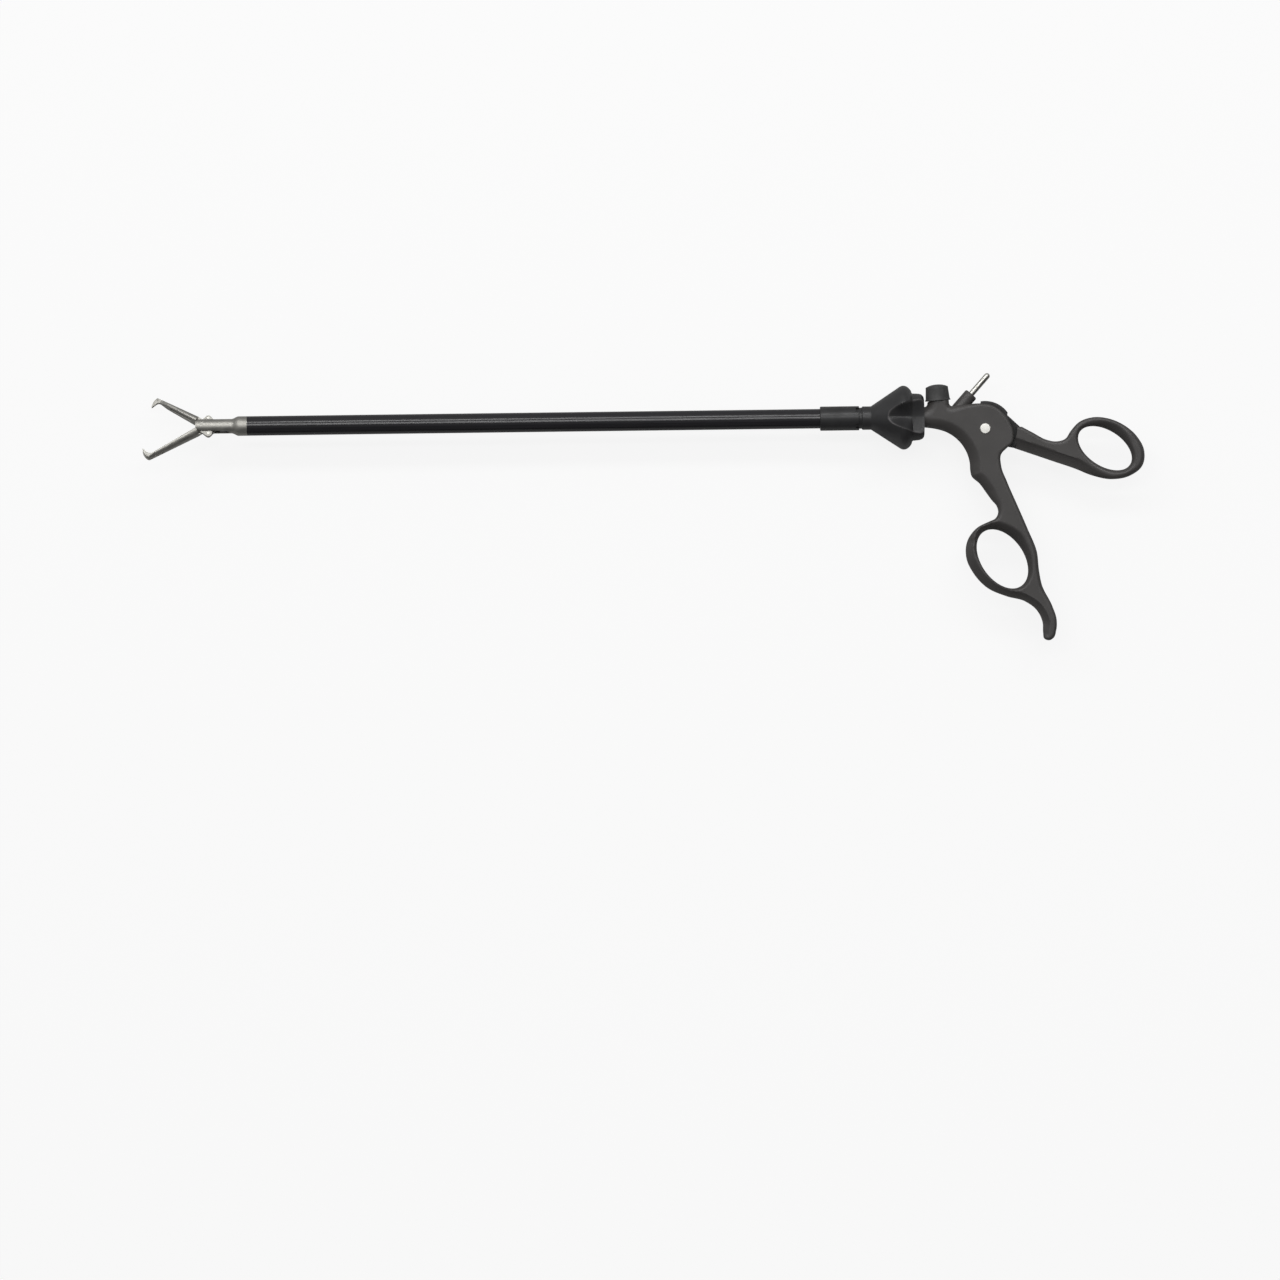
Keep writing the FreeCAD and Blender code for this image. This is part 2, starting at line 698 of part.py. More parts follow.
def electrode_cylinder(radius, low, high):
    direction = electrode_place(1) - electrode_place(0)
    return Part.makeCylinder(radius, high - low, electrode_place(low), direction)


def lever_space():
    """What the lever's head and the root of its arm sweep between the cheeks."""
    outer = lever_head_radius + slot_gap
    x, y = lever_pivot_x, lever_pivot_y
    root = lever_root_radius + slot_gap
    top = lever_crown_angle + lever_space_margin
    crest = 8.0
    low = arm_edge_angle - lever_travel - lever_space_margin
    heel = polar(x, y, lever_boss_radius + slot_gap, lever_heel_angle - lever_travel - lever_space_margin)
    head = face([
        line((x, y), polar(x, y, outer, top)),
        arc(polar(x, y, outer, top), polar(x, y, outer, (top + crest) / 2), polar(x, y, outer, crest)),
        line(polar(x, y, outer, crest), polar(x, y, root, crest)),
        arc(polar(x, y, root, crest), polar(x, y, root, (crest + low) / 2), polar(x, y, root, low)),
        line(polar(x, y, root, low), heel),
        line(heel, (x, y)),
    ])
    boss = pin_z(x, y, lever_boss_radius + slot_gap, -lever_slot / 2, lever_slot / 2)
    return slab(head, -lever_slot / 2, lever_slot / 2).fuse(boss)


def front_handle():
    half = body_thickness / 2
    body = rounded(slab(handle_outline(), -half, half), edge_radius, rim_of(half))
    hole = slab(ellipse_face(finger_hole_centre, finger_hole_axes, finger_hole_turn), -half, half)
    body = rounded(body.cut(hole), hole_edge_radius, lambda edge: rim_of(half)(edge) and around_hole(edge))
    body = body.cut(round_bevel(trigger_centre, trigger_radius, front_bevel_width, front_bevel_depth, half))
    body = body.cut(straight_bevel(grip_edge_start, grip_edge_end, (front_bevel_width, front_bevel_depth),
                                   grip_bevel_end, half))
    blend = Part.makeCone(barrel_diameter / 2, blend_radius, blend_end - barrel_front,
                          V(barrel_front, 0, 0), V(1, 0, 0))
    room = box(barrel_front - 1, blend_end, -2 * blend_radius, 2 * blend_radius, -half, half)
    body = body.cut(room.cut(blend).cut(box(barrel_front, blend_end, -2 * blend_radius, 0, -half, half)))
    boss = rounded(electrode_cylinder(boss_diameter / 2, -boss_length, 0.0), boss_edge_radius,
                   lambda edge: edge.Closed and edge.BoundBox.Center.x > boss_end[0] - 1)
    body = body.multiFuse([
        rod_x(barrel_front, barrel_end, barrel_diameter / 2),
        port_cylinder(port_stem_diameter / 2, -3.0, port_stem_top),
        port_cylinder(port_nozzle_diameter / 2, port_stem_top - 1, port_nozzle_top),
        boss,
    ]).removeSplitter()
    cavities = [
        lever_space(),
        rod_x(barrel_front - 1, spindle_end + 0.4, spindle_diameter / 2 + fit_gap),
        rod_x(snap_ring_at - 0.2, snap_ring_at + snap_ring_width + 0.2, snap_ring_diameter / 2 + 0.1),
        rod_x(spindle_end, seal_front + seal_length, flush_chamber_diameter / 2),
        rod_x(seal_front, lever_pivot_x, rod_passage_diameter / 2),
        port_cylinder(port_bore / 2, -4.4, port_nozzle_top + 1),
        electrode_cylinder(electrode_shank_diameter / 2, -electrode_inside, 1.0),
        box(strip_root().x - 1.4, 77.5, 0.0, strip_root().y + 1.1, -strip_width / 2 - 0.2, strip_width / 2 + 0.2),
        pin_z(lever_pivot_x, lever_pivot_y, screw_diameter / 2, -half + 2.2, half + 1),
        pin_z(lever_pivot_x, lever_pivot_y, screw_head_diameter / 2, half - 0.8, half + 1),
        pin_z(lever_pivot_x, lever_pivot_y, screw_head_diameter / 2, -half - 1, -half + 2.2),
    ]
    for cavity in cavities:
        body = body.cut(cavity)
    return body


def around_hole(edge):
    """Test for an edge that runs round the middle of the finger ring."""
    middle = edge.BoundBox.Center
    close = math.hypot(middle.x - finger_hole_centre[0], middle.y - finger_hole_centre[1]) < 1.5
    return close and edge.BoundBox.DiagonalLength < 2.6 * finger_hole_axes[0]


def pivot_screw():
    half = body_thickness / 2
    x, y = lever_pivot_x, lever_pivot_y
    head = pin_z(x, y, screw_head_diameter / 2, half - 0.8, half + screw_head_proud)
    head = rounded(head, 0.4, rim_of(half + screw_head_proud))
    screw = head.multiFuse([pin_z(x, y, screw_diameter / 2, -half + 2.2, half - 0.8),
                            pin_z(x, y, screw_thread_diameter / 2, -half + 0.4, -half + 2.2)])
    return screw.removeSplitter()


def pivot_nut():
    half = body_thickness / 2
    x, y = lever_pivot_x, lever_pivot_y
    nut = pin_z(x, y, screw_head_diameter / 2, -half - screw_head_proud, -half + 2.2)
    nut = rounded(nut, 0.4, rim_of(half + screw_head_proud))
    return nut.cut(pin_z(x, y, screw_thread_diameter / 2, -half + 0.4, half))


def rod_seal():
    return ring_x(seal_front, seal_front + seal_length, flush_chamber_diameter / 2,
                  rod_diameter / 2 + fit_gap)


def electrode_pin():
    radius = electrode_diameter / 2
    pin = electrode_cylinder(radius, 0.0, electrode_exposed - radius)
    shank = electrode_cylinder(electrode_shank_diameter / 2, -electrode_inside, 0.0)
    tip = Part.makeSphere(radius, electrode_place(electrode_exposed - radius))
    return pin.multiFuse([shank, tip]).removeSplitter()


def strip_root():
    """The middle of the pin's inner end, where the strip is soldered."""
    return electrode_place(-electrode_inside)


def contact_strip():
    """A leaf that lies on the pin's inner end and bends down to rest on the rod."""
    along = electrode_place(1) - electrode_place(0)
    across = V(along.y, -along.x, 0)
    end = strip_root()
    back = along * -strip_thickness
    head, knee = end - across, end + across * 2.2
    foot = V(75.0, rod_diameter / 2 + fit_gap, 0)
    toe = V(76.8, foot.y + 0.7, 0)
    up = V(0, strip_thickness, 0)
    spots = [head, knee, foot + up, toe + up, toe, foot, knee + back, head + back]
    return slab(polygon([(spot.x, spot.y) for spot in spots]), -strip_width / 2, strip_width / 2)


def port_placed(shape):
    """A shape drawn with the port's axis on Y and its foot at the origin, moved onto the port."""
    placed = around_z(shape, 0, 0, port_lean)
    placed.translate(point(port_foot))
    return placed


def flush_port_cap():
    foot_radius = cap_diameter / 2
    shoulder_radius = cap_shoulder_diameter / 2
    foot = port_stem_top + cap_gap
    roof = port_nozzle_top + cap_seal_thickness
    dome_middle = (0.6 * shoulder_radius, cap_top - 0.3 * (cap_top - cap_shoulder))
    edges = [
        line((0, foot), (foot_radius, foot)),
        line((foot_radius, foot), (foot_radius, foot + cap_lip_height)),
        line((foot_radius, foot + cap_lip_height), (foot_radius - cap_lip, foot + cap_lip_height + cap_lip)),
        line((foot_radius - cap_lip, foot + cap_lip_height + cap_lip), (shoulder_radius, cap_shoulder)),
        arc((shoulder_radius, cap_shoulder), dome_middle, (cap_gate, cap_top)),
        line((cap_gate, cap_top), (0, cap_top)),
        line((0, cap_top), (0, foot)),
    ]
    cap = face(edges).revolve(V(0, 0, 0), V(0, 1, 0), 360)
    cap = port_placed(cap).cut(port_cylinder(port_nozzle_diameter / 2 + cap_wall_gap, port_stem_top, roof))
    plug = port_cylinder(port_bore / 2 - fit_gap, port_nozzle_top - 4.5, roof + 0.4)
    return cap.fuse(plug).removeSplitter()


def cap_seal():
    low, high = port_nozzle_top, port_nozzle_top + cap_seal_thickness
    return port_cylinder(port_nozzle_diameter / 2, low + 0.03, high).cut(
        port_cylinder(port_bore / 2, low, high + 1))


# Thumb lever
def thumb_outline():
    edge_start = arm_edge_end
    edge_end = polar(lever_pivot_x, lever_pivot_y, lever_root_radius + slot_gap, arm_edge_angle)
    edge_angle = math.degrees(math.atan2(edge_end[1] - edge_start[1], edge_end[0] - edge_start[0]))
    heel = polar(lever_pivot_x, lever_pivot_y, lever_boss_radius, lever_heel_angle)
    crown = (96.0, 0.6)
    edges = [line(edge_start, edge_end), line(edge_end, heel), line(heel, crown)]
    edges += chain([crown, (103.2, -5.4), (109.0, -8.6), (115.7, -12.2), (121.0, -13.2),
                    (125.6, -11.9), (128.6, -7.8), (133.0, -3.3), (139.6, -1.1), (147.4, -1.7),
                    (155.6, -5.2), (162.4, -11.2), (166.0, -18.6), (165.0, -26.0), (158.6, -31.2),
                    (149.2, -32.9), (139.0, -30.8), edge_start], -38, edge_angle)
    return face(edges)


def ball_socket():
    """A radial slot for the ball, and the opening through which the rod reaches it."""
    x, y = lever_pivot_x, lever_pivot_y
    rest = lever_travel / 2
    middle = ball_arm * (1 + 1 / math.cos(math.radians(rest))) / 2
    half = ball_diameter / 2 + 2 * fit_gap
    slot = box(x - half, x + half, y + middle - half - 0.1, y + middle + half + 0.1,
               -head_half - 1, head_half + 1)
    throat = rod_diameter / 2 + 0.4
    spread = 14.0 * math.tan(math.radians(rest))
    opening = polygon([(x, y + middle - throat), (x, y + middle + throat),
                       (x - 14.0, y + middle + throat + spread), (x - 14.0, y + middle - throat - spread)])
    tool = slot.fuse(slab(opening, -head_half - 1, head_half + 1))
    return around_z(tool, x, y, rest)


def around_thumb(edge):
    """Test for an edge that runs round the middle of the thumb ring."""
    middle = edge.BoundBox.Center
    close = math.hypot(middle.x - thumb_hole_centre[0], middle.y - thumb_hole_centre[1]) < 1.5
    return close and edge.BoundBox.DiagonalLength < 2.6 * thumb_hole_axes[0]


def thumb_lever():
    x, y = lever_pivot_x, lever_pivot_y
    half = lever_thickness / 2
    outline = thumb_outline()
    arm = rounded(slab(outline, -half, half), edge_radius, rim_of(half))
    hole = slab(ellipse_face(thumb_hole_centre, thumb_hole_axes, thumb_hole_turn), -half, half)
    arm = rounded(arm.cut(hole), hole_edge_radius, lambda edge: rim_of(half)(edge) and around_thumb(edge))
    edge_root = polar(x, y, lever_root_radius + slot_gap, arm_edge_angle)
    arm = arm.cut(straight_bevel(edge_root, arm_edge_end, arm_bevel_root, arm_bevel_end, half))
    arm = arm.cut(pin_z(x, y, lever_root_radius, -half, half))
    head = face([
        line((x, y), polar(x, y, lever_head_radius, lever_crown_angle)),
        arc(polar(x, y, lever_head_radius, lever_crown_angle), polar(x, y, lever_head_radius, 40),
            polar(x, y, lever_head_radius, -36)),
        line(polar(x, y, lever_head_radius, -36), (x, y)),
    ])
    root = slab(outline, -head_half, head_half).common(pin_z(x, y, lever_root_radius + 1, -half, half))
    lever = slab(head, -head_half, head_half).multiFuse([
        pin_z(x, y, lever_boss_radius, -head_half, head_half), root, arm]).removeSplitter()
    lever = lever.cut(ball_socket())
    return lever.cut(pin_z(x, y, screw_diameter / 2 + fit_gap, -half, half))


nodes = {
    "front_handle": front_handle,
    "pivot_screw": pivot_screw,
    "pivot_nut": pivot_nut,
    "electrode_pin": electrode_pin,
    "contact_strip": contact_strip,
    "rod_seal": rod_seal,
    "flush_port_cap": flush_port_cap,
    "cap_seal": cap_seal,
    "thumb_lever": thumb_lever,
    "rotation_wheel": rotation_wheel,
    "front_sleeve": front_sleeve,
    "wheel_spindle": wheel_spindle,
    "spindle_snap_ring": spindle_snap_ring,
    "spindle_o_ring": spindle_o_ring,
    "outer_tube": outer_tube,
    "tube_insulation": tube_insulation,
    "tube_hub": tube_hub,
    "jaw_housing": jaw_housing,
    "jaw_pivot_pin": jaw_pivot_pin,
    "upper_jaw": upper_jaw,
    "lower_jaw": lower_jaw,
    "upper_jaw_pin": lambda: tail_pin(1),
    "lower_jaw_pin": lambda: tail_pin(-1),
    "upper_link": lambda: jaw_link(1),
    "lower_link": lambda: jaw_link(-1),
    "rod_clevis": rod_clevis,
    "rod_pin": rod_pin,
    "push_rod": push_rod,
    "rod_insulation": rod_insulation,
    "ball_tip": ball_tip,
}

turned_with_jaws = ["jaw_housing", "jaw_pivot_pin", "upper_jaw", "lower_jaw", "upper_jaw_pin", "lower_jaw_pin",
                    "upper_link", "lower_link", "rod_clevis", "rod_pin"]

os.makedirs("parts", exist_ok=True)
for name, make in nodes.items():
    shape = make()
    if name in turned_with_jaws:
        shape = around_x(shape, jaw_turn)
    shape.exportStep("parts/" + name + ".step")
    print(name, len(shape.Solids), "solid,", round(shape.Volume, 1), "mm3, valid", shape.isValid())
print("rod pin at", round(rod_pin_x, 3), "rod travel", round(rod_travel, 3), "mid error", round(mid_error, 3))
print("link turn", round(link_angle(tail_angle_open) - link_angle(tail_angle_closed), 3))
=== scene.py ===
import math
import bmesh
import bpy
import numpy as np
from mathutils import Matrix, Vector
from mathutils.geometry import delaunay_2d_cdt
from mathutils.kdtree import KDTree


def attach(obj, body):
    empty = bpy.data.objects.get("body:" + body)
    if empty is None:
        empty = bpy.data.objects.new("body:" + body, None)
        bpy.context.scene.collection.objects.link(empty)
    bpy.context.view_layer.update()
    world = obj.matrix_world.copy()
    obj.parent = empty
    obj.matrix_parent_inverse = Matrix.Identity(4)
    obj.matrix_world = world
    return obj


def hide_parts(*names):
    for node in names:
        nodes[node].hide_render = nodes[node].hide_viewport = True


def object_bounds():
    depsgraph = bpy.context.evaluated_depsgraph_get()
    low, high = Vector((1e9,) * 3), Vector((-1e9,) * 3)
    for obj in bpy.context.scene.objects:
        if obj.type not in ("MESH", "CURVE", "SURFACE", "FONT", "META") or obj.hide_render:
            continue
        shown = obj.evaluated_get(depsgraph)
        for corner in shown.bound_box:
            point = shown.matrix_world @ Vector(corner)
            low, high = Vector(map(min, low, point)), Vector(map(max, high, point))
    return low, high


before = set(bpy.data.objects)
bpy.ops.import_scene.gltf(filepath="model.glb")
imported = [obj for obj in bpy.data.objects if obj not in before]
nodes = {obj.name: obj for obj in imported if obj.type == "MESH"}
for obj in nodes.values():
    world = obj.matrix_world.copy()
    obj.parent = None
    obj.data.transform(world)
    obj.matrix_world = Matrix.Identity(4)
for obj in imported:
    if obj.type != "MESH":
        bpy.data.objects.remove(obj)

# Laparoscopic claw grasper lying on its side. Sizes are in millimetres and become metres in makePiece.
# X runs from the jaws to the thumb ring, Y across the instrument, Z up out of its flat side.

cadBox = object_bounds()


# Colours and materials
def linear(hexColour):
    # sRGB hex to linear light: small values divided by 12.92, the others raised to 2.4
    parts = [int(hexColour[i:i + 2], 16) / 255 for i in (1, 3, 5)]
    return tuple(c / 12.92 if c <= 0.04045 else ((c + 0.055) / 1.055) ** 2.4 for c in parts) + (1.0,)


def addNode(tree, kind, inputs=None, stops=None, **settings):
    # one node: its settings, its inputs as plain values or as (node, output), and a ramp's (place, hex) stops
    node = tree.nodes.new(kind)
    for name, value in settings.items():
        setattr(node, name, value)
    for place, (position, hexColour) in enumerate(stops or []):
        stop = node.color_ramp.elements[place] if place < 2 else node.color_ramp.elements.new(position)
        stop.position = position
        stop.color = linear(hexColour)
    for name, value in (inputs or {}).items():
        if isinstance(value, tuple) and isinstance(value[0], bpy.types.Node):
            tree.links.new(value[0].outputs[value[1]], node.inputs[name])
        else:
            node.inputs[name].default_value = value
    return node


def newMaterial(name):
    material = bpy.data.materials.new(name)
    material.use_nodes = True
    material.node_tree.nodes.clear()
    return material, material.node_tree


def perMetre(millimetres):
    # Noise scale whose features are about this long, on Object coordinates in metres
    return 1000.0 / millimetres


plastic = {
    # glass-filled nylon, moulded black; the mould is spark-eroded, so faces are matt and even
    "handle": dict(dark="#434140", light="#4a4847", roughness=0.4, grain=0.7, grainDepth=0.05, mottle=14.0),
    # the lever's head between the cheeks: the same nylon coloured near-black as painted shade, for the shadow
    # deep between the cheeks
    "shadedHead": dict(dark="#0f0f0f", light="#151515", roughness=0.6, grain=0.7, grainDepth=0.03, mottle=8.0),
    # the same nylon from a polished mould, a little glossier; its scallop edges are painted lighter, partly
    # wear from fingers, partly a painted highlight
    "wheel": dict(dark="#2b2b2c", light="#343435", roughness=0.36, grain=0.9, grainDepth=0.03, mottle=9.0),
    # acetal sleeve turned from rod and blackened
    "sleeve": dict(dark="#262627", light="#313132", roughness=0.36, grain=0.5, grainDepth=0.02, mottle=7.0),
    # soft silicone-like cap of the port, dusty matt
    "cap": dict(dark="#3a3a3a", light="#464646", roughness=0.62, grain=0.6, grainDepth=0.05, mottle=5.0),
    # nitrile rubber of the seals
    "seal": dict(dark="#1d1d1e", light="#262627", roughness=0.7, grain=0.5, grainDepth=0.04, mottle=3.0),
}


def mouldedPlastic(name, look):
    # Moulded plastic: slow mottling in colour from flow and handling, fine erosion grain in the bump,
    # and edges painted lighter where the piece has a "rim" attribute: partly wear from hands, partly a
    # painted highlight along the ridges.
    material, tree = newMaterial(name)
    place = addNode(tree, "ShaderNodeTexCoord")
    mottle = addNode(tree, "ShaderNodeTexNoise", {
        "Vector": (place, "Object"), "Scale": perMetre(look["mottle"]), "Detail": 3.0, "Roughness": 0.55})
    # real erosion grain is about 0.05 mm, drawn about ten times as coarse so that it shows
    grain = addNode(tree, "ShaderNodeTexNoise", {
        "Vector": (place, "Object"), "Scale": perMetre(look["grain"]), "Detail": 4.0, "Roughness": 0.7})
    colour = addNode(tree, "ShaderNodeValToRGB", {"Fac": (mottle, "Fac")},
                     stops=[(0.32, look["dark"]), (0.68, look["light"])])
    # lighter colour where "rim" is high: wear from hands together with a painted highlight
    rim = addNode(tree, "ShaderNodeAttribute", attribute_name="rim")
    wearAndRidgeHighlight = addNode(tree, "ShaderNodeMix", {0: (rim, "Fac"), 6: (colour, "Color"), 7: linear("#4d4b4c")},
                   data_type="RGBA")
    gloss = addNode(tree, "ShaderNodeMapRange", {"Value": (mottle, "Fac"), "From Min": 0.3, "From Max": 0.7,
                                                 "To Min": look["roughness"] + 0.05,
                                                 "To Max": look["roughness"] - 0.05})
    bump = addNode(tree, "ShaderNodeBump", {"Height": (grain, "Fac"), "Strength": 0.5,
                                            "Distance": look["grainDepth"] / 1000})
    shader = addNode(tree, "ShaderNodeBsdfPrincipled", {
        "Base Color": (wearAndRidgeHighlight, 2), "Roughness": (gloss, "Result"), "Normal": (bump, "Normal"), "IOR": 1.46})
    addNode(tree, "ShaderNodeOutputMaterial", {"Surface": (shader, "BSDF")})
    return material


def shrunkTubing(name):
    # Black polymer tubing shrunk over the steel tube: a glassy skin with faint draw lines along the shaft
    # and slow waves where it gripped, so that the lamp's line in it isn't quite straight.
    material, tree = newMaterial(name)
    place = addNode(tree, "ShaderNodeTexCoord")
    drawn = addNode(tree, "ShaderNodeMapping", {"Vector": (place, "Object"), "Scale": (0.03, 1.0, 1.0)})
    lines = addNode(tree, "ShaderNodeTexNoise", {"Vector": (drawn, "Vector"), "Scale": perMetre(0.6),
                                                "Detail": 3.0})
    waves = addNode(tree, "ShaderNodeTexNoise", {"Vector": (place, "Object"), "Scale": perMetre(11.0),
                                                "Detail": 2.0})
    colour = addNode(tree, "ShaderNodeValToRGB", {"Fac": (lines, "Fac")},
                     stops=[(0.3, "#1b1a1d"), (0.7, "#222125")])
    gloss = addNode(tree, "ShaderNodeMapRange", {"Value": (lines, "Fac"), "From Min": 0.3, "From Max": 0.7,
                                                 "To Min": 0.16, "To Max": 0.24})
    drawnBump = addNode(tree, "ShaderNodeBump", {"Height": (lines, "Fac"), "Strength": 0.3,
                                                 "Distance": 0.00002})
    bump = addNode(tree, "ShaderNodeBump", {"Height": (waves, "Fac"), "Strength": 0.4, "Distance": 0.00008,
                                            "Normal": (drawnBump, "Normal")})
    shader = addNode(tree, "ShaderNodeBsdfPrincipled", {"Base Color": (colour, "Color"),
                                                        "Roughness": (gloss, "Result"),
                                                        "Normal": (bump, "Normal"), "IOR": 1.5})
    addNode(tree, "ShaderNodeOutputMaterial", {"Surface": (shader, "BSDF")})
    return material


steel = {
    # bead-blasted 17-4 stainless of the jaws and housing: warm, satin, no mirror
    "satin": dict(dark="#a3a29d", light="#b2b0aa", roughness=0.47, grain=0.4, turning=0.35, depth=0.009),
    # ground and polished pins, brighter and smoother
    "pin": dict(dark="#b9b8b2", light="#dcdbd5", roughness=0.3, grain=0.8, turning=0.3, depth=0.008),
    # nickel-plated head of the pivot screw, tumbled to a soft white shine
    "plated": dict(dark="#f1f0ea", light="#fbfaf5", roughness=0.5, grain=0.8, turning=0.3, depth=0.004),
    # drawn tube and rod inside, left as it came
    "drawn": dict(dark="#85868a", light="#a6a7aa", roughness=0.3, grain=0.9, turning=0.5, depth=0.01),
}


def stainless(name, look):
    # Stainless steel: blasted grain in bump and roughness over faint turning rings round the shaft.
    material, tree = newMaterial(name)
    place = addNode(tree, "ShaderNodeTexCoord")
    rings = addNode(tree, "ShaderNodeMapping", {"Vector": (place, "Object"), "Scale": (1.0, 0.04, 0.04)})
    # turning marks are 0.05 mm apart on the real piece, drawn wider so that they show
    turned = addNode(tree, "ShaderNodeTexNoise", {
        "Vector": (rings, "Vector"), "Scale": perMetre(look["turning"]), "Detail": 3.0})
    blasted = addNode(tree, "ShaderNodeTexNoise", {
        "Vector": (place, "Object"), "Scale": perMetre(look["grain"]), "Detail": 4.0, "Roughness": 0.7})
    stain = addNode(tree, "ShaderNodeTexNoise", {"Vector": (place, "Object"), "Scale": perMetre(4.0),
                                                "Detail": 3.0})
    mixed = addNode(tree, "ShaderNodeMath", {0: (blasted, "Fac"), 1: (stain, "Fac")}, operation="MULTIPLY")
    colour = addNode(tree, "ShaderNodeValToRGB", {"Fac": (mixed, "Value")},
                     stops=[(0.12, look["dark"]), (0.4, look["light"])])
    gloss = addNode(tree, "ShaderNodeMapRange", {"Value": (stain, "Fac"), "From Min": 0.3, "From Max": 0.7,
                                                 "To Min": look["roughness"] - 0.05,
                                                 "To Max": look["roughness"] + 0.06})
    turnedBump = addNode(tree, "ShaderNodeBump", {"Height": (turned, "Fac"), "Strength": 0.35,
                                                  "Distance": look["depth"] / 1000})
    bump = addNode(tree, "ShaderNodeBump", {
        "Height": (blasted, "Fac"), "Strength": 0.4, "Distance": look["depth"] / 1000,
        "Normal": (turnedBump, "Normal")})
    shader = addNode(tree, "ShaderNodeBsdfPrincipled", {"Base Color": (colour, "Color"), "Metallic": 1.0,
                                                        "Roughness": (gloss, "Result"),
                                                        "Normal": (bump, "Normal")})
    addNode(tree, "ShaderNodeOutputMaterial", {"Surface": (shader, "BSDF")})
    return material


def rolledBronze(name):
    # Phosphor bronze leaf, rolled and stamped: brown-gold with fine rolling lines across it.
    material, tree = newMaterial(name)
    place = addNode(tree, "ShaderNodeTexCoord")
    rolled = addNode(tree, "ShaderNodeMapping", {"Vector": (place, "Object"), "Scale": (0.1, 1.0, 1.0)})
    lines = addNode(tree, "ShaderNodeTexNoise", {"Vector": (rolled, "Vector"), "Scale": perMetre(0.4),
                                                "Detail": 3.0})
    colour = addNode(tree, "ShaderNodeValToRGB", {"Fac": (lines, "Fac")},
                     stops=[(0.3, "#8a5f35"), (0.7, "#b58550")])
    bump = addNode(tree, "ShaderNodeBump", {"Height": (lines, "Fac"), "Strength": 0.3, "Distance": 0.00001})
    shader = addNode(tree, "ShaderNodeBsdfPrincipled", {"Base Color": (colour, "Color"), "Metallic": 1.0,
                                                        "Roughness": 0.34, "Normal": (bump, "Normal")})
    addNode(tree, "ShaderNodeOutputMaterial", {"Surface": (shader, "BSDF")})
    return material


def drawnFluoropolymer(name):
    # White fluoropolymer sleeve on the rod: waxy, and light goes a little way in.
    material, tree = newMaterial(name)
    place = addNode(tree, "ShaderNodeTexCoord")
    cloud = addNode(tree, "ShaderNodeTexNoise", {"Vector": (place, "Object"), "Scale": perMetre(6.0),
                                                "Detail": 3.0})
    colour = addNode(tree, "ShaderNodeValToRGB", {"Fac": (cloud, "Fac")},
                     stops=[(0.3, "#dcdcd6"), (0.7, "#eeeeea")])
    bump = addNode(tree, "ShaderNodeBump", {"Height": (cloud, "Fac"), "Strength": 0.2, "Distance": 0.00003})
    shader = addNode(tree, "ShaderNodeBsdfPrincipled", {"Base Color": (colour, "Color"), "Roughness": 0.45,
                                                        "Subsurface Weight": 0.1, "Subsurface Scale": 0.0005,
                                                        "Normal": (bump, "Normal"), "IOR": 1.38})
    addNode(tree, "ShaderNodeOutputMaterial", {"Surface": (shader, "BSDF")})
    return material


finishes = {
    "handle": mouldedPlastic("mouldedNylonHandle", plastic["handle"]),
    "shadedHead": mouldedPlastic("shadeDarkenedNylonHead", plastic["shadedHead"]),
    "wheel": mouldedPlastic("mouldedNylonWheel", plastic["wheel"]),
    "sleeve": mouldedPlastic("turnedAcetalSleeve", plastic["sleeve"]),
    "cap": mouldedPlastic("mouldedSiliconeCap", plastic["cap"]),
    "seal": mouldedPlastic("mouldedNitrileSeal", plastic["seal"]),
    "tubing": shrunkTubing("shrunkPolymerTubing"),
    "satin": stainless("blastedStainlessSteel", steel["satin"]),
    "pin": stainless("groundStainlessPin", steel["pin"]),
    "plated": stainless("tumbledNickelPlate", steel["plated"]),
    "drawn": stainless("drawnStainlessSteel", steel["drawn"]),
    "bronze": rolledBronze("rolledPhosphorBronze"),
    "white": drawnFluoropolymer("drawnFluoropolymerSleeve"),
}
print("materials made:", len(finishes))

# The finish of every CAD node, also of those that a mesh piece stands for
nodeFinish = {
    "front_handle": "handle", "thumb_lever": "handle", "rotation_wheel": "wheel", "front_sleeve": "sleeve",
    "wheel_spindle": "sleeve", "flush_port_cap": "cap", "cap_seal": "seal", "rod_seal": "seal",
    "spindle_o_ring": "seal", "tube_insulation": "tubing", "jaw_housing": "satin", "upper_jaw": "satin",
    "lower_jaw": "satin", "upper_link": "satin", "lower_link": "satin", "pivot_screw": "plated",
    "pivot_nut": "pin", "electrode_pin": "pin", "jaw_pivot_pin": "satin", "upper_jaw_pin": "pin",
    "lower_jaw_pin": "pin", "rod_pin": "pin", "rod_clevis": "drawn", "push_rod": "drawn",
    "ball_tip": "pin", "outer_tube": "drawn", "tube_hub": "drawn", "spindle_snap_ring": "drawn",
    "rod_insulation": "white", "contact_strip": "bronze",
}
for name, finish in nodeFinish.items():
    mesh = nodes[name].data
    mesh.materials.clear()
    mesh.materials.append(finishes[finish])
print("CAD nodes finished:", len(nodeFinish))


# Mesh pieces. Each is worked out in millimetres as numpy arrays and stands for a CAD node.
def makePiece(name, parts, finish, body, node, sharpAngle=38.0):
    # joins parts, each (vertices, faces, rim), into one object with smooth faces and sharp corners
    vertices, faces, rims, start = [], [], [], 0
    for points, polygons, rim in parts:
        vertices.append(points)
        faces += [tuple(int(corner) + start for corner in polygon) for polygon in polygons]
        rims.append(np.broadcast_to(rim, len(points)))
        start += len(points)
    mesh = bpy.data.meshes.new(name)
    mesh.from_pydata((np.vstack(vertices) / 1000).tolist(), [], faces)
    # the "rim" attribute lightens the plastic's colour: wear and a painted highlight
    attribute = mesh.attributes.new("rim", "FLOAT", "POINT")
    attribute.data.foreach_set("value", np.concatenate(rims).astype(np.float32))
    mesh.materials.append(finishes[finish])
    piece = bpy.data.objects.new(name, mesh)
    bpy.context.scene.collection.objects.link(piece)
    finishPiece(piece, body, node, sharpAngle)
    return piece


